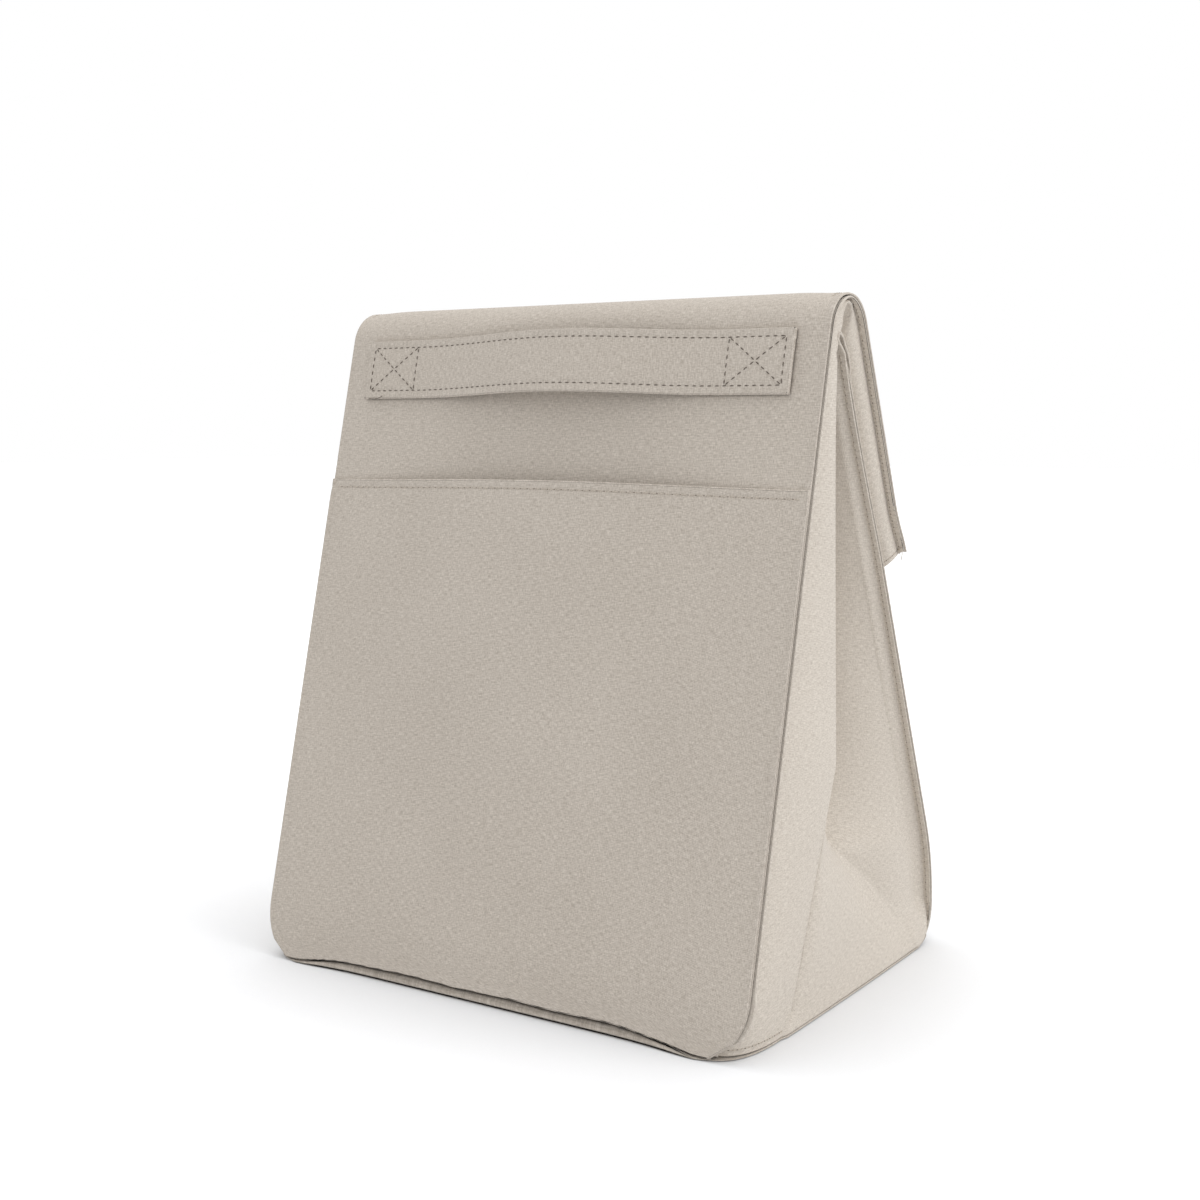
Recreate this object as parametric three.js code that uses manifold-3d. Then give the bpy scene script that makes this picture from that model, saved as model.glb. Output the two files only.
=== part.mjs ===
// Insulated lunch bag: a cloth tube with pleated side gussets on a flat base. The top of the tube
// folds over backwards as a flap. Millimetres, +Z up, front towards -Y, origin under the base.
import * as THREE from 'three';
import { mergeVertices } from 'three/addons/utils/BufferGeometryUtils.js';
import Module from 'manifold-3d';

// Overall shape, in side view
const bagWidth = 250;
const bagHeight = 295.5;
const ridgeY = -8.5;
const ridgeRadius = 17.9;
const frontLean = 13.66;
const backLean = 24.18;
const bulgeRadius = 99.4;
const heelRadius = 17;
const frontCorner = 22;
const lipWidth = 4;

// Wall layers, from the outside in
const fabric = 1.0;
const foam = 2.2;
const liner = 0.5;
const gap = 0.3;
const foamInset = 10;

// Side gussets
const gussetFabric = 0.8;
const gussetLining = 1.2;
const pleatShare = 0.41;
const notchDepth = 36;
const notchLean = 0.19;
const notchInset = 6;
const pleatFlare = 0.2;
const pleatBevel = 2.5;
const valleyBevel = 1.2;
const backTuck = 2.5;
const apexHeight = 66;
const gussetDrop = 3;

// Folded top
const tubeGap = 9.4;
const snapGap = 3.5;
const foldDrop = 3.6;
const foldEndGap = 1;
const innerFlap = 103;
const outerFlap = 105;
const flapGussetEnd = 101;
const ridgeJoints = 3;

// Base
const baseFabric = 1.2;
const baseBoard = 1.5;
const insertWidth = 228;
const insertCorner = 24;
const insertPlay = 0.5;

// Pocket and handle
const pocketHeight = 217;
const pocketGape = 7;
const strapLength = 221.5;
const strapWidth = 27.7;
const strapThickness = 2;
const strapGap = 9.5;
const strapTack = 29.5;
const strapBelowRidge = 1;

// Magnetic snap
const snapRadius = 9;
const snapThickness = 1.4;
const snapDown = 78;
const washerRadius = 8;
const washerThickness = 0.8;

const rad = THREE.MathUtils.degToRad;
const wall = fabric + foam + liner + 2 * gap;
const foamFace = fabric + gap;
const linerFace = foamFace + foam + gap;
const pleat = gussetFabric + gap + gussetLining;
const half = bagWidth / 2;
const lipX = half - lipWidth;
const foamX = half - foamInset;

// Side view points and directions, as (y, z)
const vec = (y, z) => new THREE.Vector2(y, z);
const frontOut = vec(-Math.cos(rad(frontLean)), Math.sin(rad(frontLean)));
const backOut = vec(Math.cos(rad(backLean)), Math.sin(rad(backLean)));
const ridge = vec(ridgeY, bagHeight - ridgeRadius);
const frontFoot = -(frontOut.dot(ridge) + ridgeRadius) / Math.cos(rad(frontLean));
const frontLength = (ridge.y + ridgeRadius * frontOut.y) / Math.cos(rad(frontLean));
const flapOut = snapGap / 2 + 2 * wall + tubeGap;
const backFace = backOut.dot(ridge) + ridgeRadius - flapOut - snapGap / 2;
const foldZ = ridge.y - foldDrop;
const fold = vec((backFace + snapGap / 2 - foldZ * backOut.y) / backOut.x, foldZ);
const bulgeCut = heelRadius * backOut.y + bulgeRadius * (1 - backOut.x);
const backBulge = (backFace - bulgeCut) / backOut.x;
const backFoot = backBulge - heelRadius;
const flapStart = (fold.y - ridge.y) * backOut.x + (ridge.x - fold.x) * backOut.y;

// Angles round the ridge: where the front ends, where the flap starts, and the creases between them
const frontAngle = 180 - frontLean;
const creaseTurn = (frontAngle - backLean) / ridgeJoints;
const creaseAngle = (i) => frontAngle - creaseTurn * (i + 0.5);

const wasm = await Module();
wasm.setup();

const cloth = new THREE.MeshStandardMaterial({ color: 0xbbb2a7, roughness: 0.95, metalness: 0 });
const paleCloth = new THREE.MeshStandardMaterial({ color: 0xd6cdc3, roughness: 0.95, metalness: 0 });
const foamGrey = new THREE.MeshStandardMaterial({ color: 0xe6e6e2, roughness: 0.9, metalness: 0 });
const foil = new THREE.MeshStandardMaterial({ color: 0xc9ccd0, roughness: 0.35, metalness: 0.6 });
const board = new THREE.MeshStandardMaterial({ color: 0x3c3f42, roughness: 0.6, metalness: 0 });
const steel = new THREE.MeshStandardMaterial({ color: 0xa8abae, roughness: 0.3, metalness: 1 });

function arc(centre, radius, from, to, steps) {
  const points = [];
  for (let i = 0; i <= steps; i++) {
    const a = rad(from + (to - from) * i / steps);
    points.push(vec(centre.x + radius * Math.cos(a), centre.y + radius * Math.sin(a)));
  }
  return points;
}

function shapeOf(points) {
  const shape = new THREE.Shape();
  points.forEach((p, i) => (i ? shape.lineTo(p.x, p.y) : shape.moveTo(p.x, p.y)));
  shape.closePath();
  return shape;
}

function extrude(points, depth) {
  return new THREE.ExtrudeGeometry(shapeOf(points), { depth, bevelEnabled: false, steps: 1 });
}

// A strip between two side view lines, running across the bag from x0 to x1
function across(near, far, x0, x1) {
  const geometry = extrude([...near, ...far.slice().reverse()], x1 - x0);
  geometry.translate(0, 0, x0);
  return geometry.applyMatrix4(new THREE.Matrix4().set(0, 0, 1, 0, 1, 0, 0, 0, 0, 1, 0, 0, 0, 0, 0, 1));
}

// A sheet through rings of points that lie one above the other. The first half of a ring is one face
// and the second half comes back along the other, and both faces fold along the same diagonals.
function loft(rings) {
  const size = rings[0].length;
  const index = [];
  for (let r = 0; r + 1 < rings.length; r++) {
    for (let i = 0; i < size; i++) {
      const a = r * size + i;
      const b = r * size + (i + 1) % size;
      if (i < size / 2) index.push(a, b, b + size, a, b + size, a + size);
      else index.push(a, b, a + size, b, b + size, a + size);
    }
  }
  const capOf = (ring) => THREE.ShapeUtils.triangulateShape(ring.map((p) => vec(p.x, p.y)), []);
  const last = (rings.length - 1) * size;
  for (const [a, b, c] of capOf(rings[0])) index.push(a, c, b);
  for (const [a, b, c] of capOf(rings[rings.length - 1])) index.push(last + a, last + b, last + c);
  const geometry = new THREE.BufferGeometry();
  const points = rings.flat().flatMap((p) => [p.x, p.y, p.z]);
  geometry.setAttribute('position', new THREE.Float32BufferAttribute(points, 3));
  geometry.setIndex(index);
  return geometry;
}

function solidOf(geometry) {
  const bare = geometry.clone();
  bare.deleteAttribute('normal');
  bare.deleteAttribute('uv');
  const merged = mergeVertices(bare, 1e-4);
  const vertProperties = new Float32Array(merged.attributes.position.array);
  const triVerts = new Uint32Array(merged.index.array);
  return new wasm.Manifold(new wasm.Mesh({ numProp: 3, vertProperties, triVerts }));
}

function cut(geometry, tool) {
  const mesh = solidOf(geometry).subtract(solidOf(tool)).getMesh();
  const result = new THREE.BufferGeometry();
  result.setAttribute('position', new THREE.BufferAttribute(new Float32Array(mesh.vertProperties), 3));
  result.setIndex(new THREE.BufferAttribute(new Uint32Array(mesh.triVerts), 1));
  return result;
}

const group = new THREE.Group();

function place(parent, name, geometry, material) {
  const mesh = new THREE.Mesh(geometry, material);
  mesh.name = name;
  parent.add(mesh);
  return mesh;
}

// Frame of the front: x across, y inwards from the outer face, z up the slope
const front = new THREE.Group();
front.position.set(0, frontFoot, 0);
front.rotation.x = -rad(frontLean);
group.add(front);

// Frame of the folded flap: y out from the fold axis, z up the slope
const flap = new THREE.Group();
flap.position.set(0, fold.x, fold.y);
flap.rotation.x = rad(backLean);
group.add(flap);

// Outline of a panel with its two bottom corners rounded
function panelOutline(x, bottom, top, corner) {
  return [
    vec(x, top), vec(-x, top),
    ...arc(vec(corner - x, bottom + corner), corner, 180, 270, 8),
    ...arc(vec(x - corner, bottom + corner), corner, 270, 360, 8),
  ];
}

const frontBottom = baseFabric + gap;
const frontTop = frontLength - gap;

function frontLayer(x, bottom, near, thickness) {
  const geometry = extrude(panelOutline(x, bottom, frontTop, frontCorner), thickness);
  return geometry.rotateX(Math.PI / 2).translate(0, near + thickness, 0);
}

function buildFront() {
  place(front, 'front_shell', frontLayer(half, frontBottom, 0, fabric), cloth);
  place(front, 'front_foam', frontLayer(foamX, 2 * frontBottom, foamFace, foam), foamGrey);
  place(front, 'front_liner', frontLayer(foamX, 2 * frontBottom, linerFace, liner), foil);
}

// Half width of the front panel at a distance up its slope
function edgeX(slope) {
  const rise = Math.min(Math.max(slope - frontBottom, 0), frontCorner);
  return half - frontCorner + Math.sqrt(frontCorner ** 2 - (frontCorner - rise) ** 2);
}

// The pocket lies flat along its sewn edges and bows out between them, most at its mouth
function buildPocket() {
  const top = pocketHeight / Math.cos(rad(frontLean));
  const columns = 20;
  const shares = [0, 0.07, 0.2, 0.43, 0.7, 1].map((share) => frontBottom + share * frontCorner);
  const slopes = [...shares, ...[0.25, 0.4, 0.55, 0.7, 0.85, 1].map((share) => share * top)];
  const rings = slopes.map((slope) => {
    const x = edgeX(slope);
    const bow = pocketGape * Math.sin(Math.PI / 2 * (slope - frontBottom) / (top - frontBottom));
    const outer = [];
    const inner = [];
    for (let i = 0; i <= columns; i++) {
      const across01 = 2 * i / columns - 1;
      const lift = gap + bow * (1 - Math.min(1, Math.abs(across01 * x / (lipX - lipWidth))) ** 2) ** 2;
      outer.push(new THREE.Vector3(across01 * x, -lift - fabric, slope));
      inner.push(new THREE.Vector3(across01 * x, -lift, slope));
    }
    return [...outer, ...inner.reverse()];
  });
  place(front, 'pocket_panel', loft(rings), cloth);
}

// The strap lies flat on its two sewn ends and bows out between them
function buildHandle() {
  const span = strapLength / 2 - strapTack;
  const bow = (x) => (Math.abs(x) < span ? strapGap * 0.5 * (1 + Math.cos(Math.PI * x / span)) : 0);
  const steps = 24;
  const line = [-strapLength / 2];
  for (let i = 0; i <= steps; i++) line.push(-span + 2 * span * i / steps);
  line.push(strapLength / 2);
  const inner = line.map((x) => vec(x, -gap - bow(x)));
  const outer = line.map((x) => vec(x, -gap - bow(x) - strapThickness));
  const geometry = extrude([...outer, ...inner.reverse()], strapWidth);
  place(front, 'handle_strap', geometry.translate(0, 0, frontLength - strapBelowRidge - strapWidth), cloth);
}

// Outer face of the back moved inwards by depth: round the heel, over the bulge and up to the fold
function backLine(depth) {
  const heel = arc(vec(backFoot, heelRadius), heelRadius - depth, -90, 0, 6);
  const bulge = arc(vec(backBulge - bulgeRadius, heelRadius), bulgeRadius - depth, 0, backLean, 5);
  const end = fold.clone().addScaledVector(backOut, -snapGap / 2 - depth);
  const top = end.add(vec(backOut.y, -backOut.x).multiplyScalar(foldEndGap));
  return [...heel, ...bulge.slice(1), top];
}

// Recess in the foam for the plate that backs one half of the snap
function washerTool(out) {
  const depth = washerThickness + 2 * gap;
  const tool = new THREE.CylinderGeometry(washerRadius + gap, washerRadius + gap, depth, 24);
  tool.translate(0, out, -snapDown);
  flap.updateMatrixWorld(true);
  return tool.applyMatrix4(flap.matrixWorld);
}

const socketWasherOut = -snapGap / 2 - foamFace - washerThickness / 2;
const studWasherOut = snapGap / 2 + foamFace + washerThickness / 2;

function buildBack() {
  const foamSolid = across(backLine(foamFace), backLine(foamFace + foam), -foamX, foamX);
  place(group, 'back_shell', across(backLine(0), backLine(fabric), -half, half), cloth);
  place(group, 'back_foam', cut(foamSolid, washerTool(socketWasherOut)), foamGrey);
  place(group, 'back_liner', across(backLine(linerFace), backLine(wall), -foamX, foamX), foil);
}

// The base: sewn cloth, and a stiff board with foam and liner that lies loose on it
function buildBase() {
  const frontEdge = frontFoot + frontBottom * Math.tan(rad(frontLean));
  const insertFront = frontEdge + (wall + gap) / Math.cos(rad(frontLean)) + 2 * insertPlay;
  const insert = panelOutline(insertWidth / 2, insertFront, backFoot - insertPlay, insertCorner);
  const shell = panelOutline(half, frontEdge, backFoot - gap, frontCorner);
  const layers = [
    ['base_shell', shell, baseFabric, cloth], ['base_board', insert, baseBoard, board],
    ['base_foam', insert, foam, foamGrey], ['base_liner', insert, liner, foil],
  ];
  let z = 0;
  for (const [name, outline, thickness, material] of layers) {
    place(group, name, extrude(outline, thickness).translate(0, 0, z), material);
    z += thickness + gap;
  }
}

const frontY = (z, depth) => frontFoot + z * Math.tan(rad(frontLean)) + depth / Math.cos(rad(frontLean));

function backY(z, depth) {
  if (z < heelRadius) {
    return backFoot + Math.sqrt(Math.max(0, (heelRadius - depth) ** 2 - (heelRadius - z) ** 2));
  }
  const lean = Math.asin(Math.min(1, (z - heelRadius) / (bulgeRadius - depth)));
  if (lean < rad(backLean)) return backBulge - bulgeRadius + (bulgeRadius - depth) * Math.cos(lean);
  return (backFace - depth - z * backOut.y) / backOut.x;
}

// How far behind the front the gusset's outer crease lies
function pleatReach(z) {
  const depth = backY(z, 0) - frontY(z, 0);
  return Math.max(Math.min(notchDepth + notchLean * z, pleatShare * depth), wall + gap + pleat + gap);
}

// Inner fold of the gusset, which is as wide as the base is deep: what is left of its width beside
// the pleat runs in and out again in two equal legs
function valleyPoint(z) {
  const gussetWidth = backFoot - frontFoot;
  const from = frontY(z, 0) + pleatReach(z);
  const to = backY(z, wall + gap + pleat);
  const leg = (gussetWidth - pleatReach(z) - pleat - wall) / 2;
  return vec(half - Math.sqrt(leg ** 2 - ((to - from) / 2) ** 2), (from + to) / 2);
}

// The gussets end a little below the fold. From there up to the hem their folds have this inner edge.
const gussetTop = foldZ - gussetDrop;
const valleyX = valleyPoint(gussetTop).x - pleat + gussetFabric / 2;

// Level section through the right gusset, from the front lip to the back lip, as (x, y)
function gussetSection(z) {
  const lipDepth = fabric + gap + gussetFabric / 2;
  const lipFront = frontY(z, lipDepth);
  const lipBack = backY(z, lipDepth);
  const edge = edgeX(z / Math.cos(rad(frontLean)));
  const turn = edge - lipWidth - gussetFabric / 2;
  const flare = pleatFlare * pleatReach(z);
  const bevel = Math.min(pleatBevel, flare);
  const pleatX = Math.min(half - gussetFabric, lipX + flare);
  const pleatY = frontY(z, 0) + pleatReach(z);
  const backTurn = vec(lipX - backTuck, backY(z, wall + gap + pleat));
  const valley = valleyPoint(Math.max(z, apexHeight));
  if (z < apexHeight) valley.lerpVectors(vec(lipX, backFoot - notchInset), valley, z / apexHeight);
  const bulged = vec(turn + (pleatX - turn) * 0.65, lipFront + (pleatY - lipFront) * 0.4);
  return [
    vec(edge - gap, lipFront), vec(turn, lipFront), bulged,
    vec(pleatX, pleatY - bevel), vec(pleatX - bevel, pleatY),
    vec(valley.x, valley.y - valleyBevel), vec(valley.x, valley.y + valleyBevel),
    backTurn, vec(lipX, lipBack), vec(half - gap, lipBack),
  ];
}

// Moves each point of an open line to its left by a distance, with mitred corners
function offsetLine(line, distance) {
  return line.map((p, i) => {
    const sides = [];
    if (i > 0) sides.push(p.clone().sub(line[i - 1]).normalize());
    if (i + 1 < line.length) sides.push(line[i + 1].clone().sub(p).normalize());
    const normals = sides.map((s) => vec(-s.y, s.x));
    const sum = normals.reduce((a, b) => a.add(b), vec(0, 0));
    return p.clone().addScaledVector(sum, distance * normals.length / sum.lengthSq());
  });
}

const lowShares = [0.045, 0.08, 0.15, 0.26, 0.4, 0.56, 0.76, 1];
const highShares = [0.12, 0.27, 0.46, 0.66, 0.85, 1];
const lowLevels = lowShares.map((share) => share * apexHeight);
const highLevels = highShares.map((share) => apexHeight + share * (gussetTop - apexHeight));
const gussetLevels = [baseFabric + gap, ...lowLevels, ...highLevels];

function gussetSheet(near, far, pick) {
  return loft(gussetLevels.map((z) => {
    const line = pick(gussetSection(z));
    const ring = [...offsetLine(line, near), ...offsetLine(line, far).reverse()];
    return ring.map((p) => new THREE.Vector3(p.x, p.y, z));
  }));
}

// The lining has no lips: it runs from the front lip's inner edge to just before the fold at the back
function liningPart(section) {
  const end = section[7].clone();
  end.x -= pleat;
  return [...section.slice(1, 7), end];
}

function mirrored(geometry) {
  const copy = geometry.clone().scale(-1, 1, 1);
  copy.setIndex([...copy.index.array].reverse());
  return copy;
}

function buildGussets() {
  const shell = gussetSheet(-gussetFabric / 2, gussetFabric / 2, (section) => section);
  const lining = gussetSheet(gussetFabric / 2 + gap, pleat - gussetFabric / 2, liningPart);
  place(group, 'gusset_right_shell', shell, paleCloth);
  place(group, 'gusset_right_lining', lining, foil);
  place(group, 'gusset_left_shell', mirrored(shell), paleCloth);
  place(group, 'gusset_left_lining', mirrored(lining), foil);
}

// The outer sheet goes round the ridge: cloth all the way, with padding between the creases
function buildRidge() {
  const end = gap / ridgeRadius * THREE.MathUtils.RAD2DEG;
  const cover = (depth) => arc(ridge, ridgeRadius - depth, frontAngle - end, backLean + end, 16);
  place(group, 'ridge_fold_outer', across(cover(0), cover(fabric), -half, half), cloth);
  ['ridge_pad_front', 'ridge_pad_back'].forEach((name, i) => {
    const from = creaseAngle(i) - 3 * end;
    const to = creaseAngle(i + 1) + 3 * end;
    const face = (depth) => arc(ridge, ridgeRadius - depth, from, to, 6);
    place(group, name, across(face(foamFace), face(wall), -foamX, foamX), foamGrey);
  });
  const innerTurn = (radius) => arc(fold, radius, 180 + backLean, backLean, 12);
  const innerFold = across(innerTurn(snapGap / 2 + wall), innerTurn(snapGap / 2), -half, half);
  place(group, 'ridge_fold_inner', innerFold, cloth);
}

// Gusset folds that pass through the ridge, one against the outer sheet and one against the inner
function buildRidgeGussets() {
  const frontRadius = ridgeRadius - wall - gap;
  const backRadius = snapGap / 2 + wall + gap;
  const outerPath = (radius) => {
    const start = arc(ridge, radius, frontAngle, frontAngle, 1)[0];
    const low = (start.y - gussetTop - 3 * gap) / Math.cos(rad(frontLean));
    const stop = arc(ridge, radius, backLean, backLean, 1)[0];
    const down = vec(backOut.y, -backOut.x);
    return [
      start.clone().addScaledVector(vec(-frontOut.y, frontOut.x), low),
      ...arc(ridge, radius, frontAngle, backLean, 12),
      stop.addScaledVector(down, foldEndGap - flapStart),
    ];
  };
  const clear = Math.asin((fold.y - gussetTop - gap) / (backRadius + pleat)) * THREE.MathUtils.RAD2DEG;
  const innerPath = (radius) => arc(fold, radius, 180 + clear, backLean, 12);
  for (const [side, x0, x1] of [['right', valleyX, lipX], ['left', -lipX, -valleyX]]) {
    const outer = across(outerPath(frontRadius), outerPath(frontRadius - pleat), x0, x1);
    const inner = across(innerPath(backRadius + pleat), innerPath(backRadius), x0, x1);
    place(group, `gusset_fold_${side}_front`, outer, paleCloth);
    place(group, `gusset_fold_${side}_back`, inner, paleCloth);
  }
}

// One layer of the flap, between two distances down from the fold
function flapLayer(x, out, thickness, from, to) {
  const geometry = new THREE.BoxGeometry(2 * x, thickness, to - from);
  return geometry.translate(0, out + thickness / 2, -(from + to) / 2);
}

function buildFlap() {
  const innerLayer = (x, depth, thickness) => {
    return flapLayer(x, snapGap / 2 + depth, thickness, foldEndGap, innerFlap);
  };
  const innerFoam = innerLayer(foamX, foamFace, foam);
  flap.updateMatrixWorld(true);
  innerFoam.applyMatrix4(flap.matrixWorld);
  place(flap, 'flap_inner_shell', innerLayer(half, 0, fabric), cloth);
  place(group, 'flap_inner_foam', cut(innerFoam, washerTool(studWasherOut)), foamGrey);
  place(flap, 'flap_inner_liner', innerLayer(foamX, linerFace, liner), foil);
  const start = flapStart + gap;
  const outerLayer = (x, depth, thickness) => {
    return flapLayer(x, flapOut - depth - thickness, thickness, start, outerFlap);
  };
  place(flap, 'flap_outer_shell', outerLayer(half, 0, fabric), cloth);
  place(flap, 'flap_outer_foam', outerLayer(foamX, foamFace, foam), foamGrey);
  place(flap, 'flap_outer_liner', outerLayer(foamX, linerFace, liner), foil);
}

// The flap's own gussets: each is a fold whose open side faces outwards between the two sheets
function buildFlapGussets() {
  const low = snapGap / 2 + wall + gap;
  const high = flapOut - wall - gap;
  const outline = [
    vec(lipX, low), vec(lipX, low + pleat), vec(valleyX + pleat, low + pleat),
    vec(valleyX + pleat, high - pleat), vec(lipX, high - pleat), vec(lipX, high),
    vec(valleyX, high), vec(valleyX, low),
  ];
  const length = flapGussetEnd - foldEndGap - gap;
  for (const [name, side] of [['flap_gusset_right', 1], ['flap_gusset_left', -1]]) {
    const geometry = extrude(outline.map((p) => vec(side * p.x, p.y)), length);
    place(flap, name, geometry.translate(0, 0, -flapGussetEnd), paleCloth);
  }
}

// A magnetic snap holds the flap to the back; each half has a plate behind the cloth
function buildSnap() {
  const disc = (radius, thickness, out) => {
    return new THREE.CylinderGeometry(radius, radius, thickness, 32).translate(0, out, -snapDown);
  };
  const seat = (snapGap - 2 * snapThickness - gap) / 2;
  const socketOut = -snapGap / 2 + seat + snapThickness / 2;
  place(flap, 'snap_socket', disc(snapRadius, snapThickness, socketOut), steel);
  place(flap, 'snap_stud', disc(snapRadius, snapThickness, -socketOut), steel);
  place(flap, 'snap_socket_washer', disc(washerRadius, washerThickness, socketWasherOut), steel);
  place(flap, 'snap_stud_washer', disc(washerRadius, washerThickness, studWasherOut), steel);
}

buildBase();
buildFront();
buildPocket();
buildHandle();
buildBack();
buildGussets();
buildRidge();
buildRidgeGussets();
buildFlap();
buildFlapGussets();
buildSnap();

export default group;
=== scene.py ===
import math

import bpy
import numpy as np
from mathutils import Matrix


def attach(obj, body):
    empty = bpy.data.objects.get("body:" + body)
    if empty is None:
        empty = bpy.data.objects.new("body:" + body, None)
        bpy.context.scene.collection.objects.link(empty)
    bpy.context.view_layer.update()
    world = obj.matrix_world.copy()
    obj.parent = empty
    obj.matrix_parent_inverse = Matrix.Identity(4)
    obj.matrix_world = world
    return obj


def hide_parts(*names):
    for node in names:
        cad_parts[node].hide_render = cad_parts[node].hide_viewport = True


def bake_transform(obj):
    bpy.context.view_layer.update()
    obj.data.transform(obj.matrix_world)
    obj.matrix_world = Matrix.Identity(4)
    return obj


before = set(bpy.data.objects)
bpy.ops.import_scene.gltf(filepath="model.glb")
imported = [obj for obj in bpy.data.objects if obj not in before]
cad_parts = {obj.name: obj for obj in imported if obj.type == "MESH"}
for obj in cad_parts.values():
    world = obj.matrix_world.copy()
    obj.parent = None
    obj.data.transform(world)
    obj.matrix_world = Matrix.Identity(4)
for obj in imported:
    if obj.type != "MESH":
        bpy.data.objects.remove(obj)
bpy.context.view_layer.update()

# Outer cloth: front panel, ridge and flap
# One length of canvas runs up the front, over the ridge and down behind as the flap's outer sheet. Both sides
# end in a pinched lip, sewn from inside on the front and topstitched behind. It is cut where it creases.
millimetre = 0.001
half_width = 125.0
front_lean = math.radians(13.66)
back_lean = math.radians(24.18)
ridge_centre = np.array([-8.5, 277.6])
ridge_radius = 17.9
front_out = np.array([-math.cos(front_lean), math.sin(front_lean)])
front_along = np.array([math.sin(front_lean), math.cos(front_lean)])
back_out = np.array([math.cos(back_lean), math.sin(back_lean)])
front_foot = -(front_out @ ridge_centre + ridge_radius) / math.cos(front_lean)
flap_out = 19.75
fold_radius = 1.75
fold_z = ridge_centre[1] - 3.6
back_face = back_out @ ridge_centre + ridge_radius - flap_out - fold_radius
seam_rise = 2.4
corner_radius = 22.0


def srgb(code):
    """A linear colour from sRGB hex"""
    parts = [int(code[i:i + 2], 16) / 255 for i in (1, 3, 5)]
    return [p / 12.92 if p <= 0.04045 else ((p + 0.055) / 1.055) ** 2.4 for p in parts] + [1.0]


def node(tree, kind, inputs=None, **settings):
    """Adds a node; an input that is another node's output is linked"""
    made = tree.nodes.new(kind)
    for key, value in settings.items():
        setattr(made, key, value)
    for key, value in (inputs or {}).items():
        if isinstance(value, bpy.types.NodeSocket):
            tree.links.new(value, made.inputs[key])
        else:
            made.inputs[key].default_value = value
    return made


def new_material(name):
    material = bpy.data.materials.new(name)
    material.use_nodes = True
    tree = material.node_tree
    return material, tree, tree.nodes["Principled BSDF"]


thread_spacing = 0.62
seam_depth = 2.2


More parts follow.
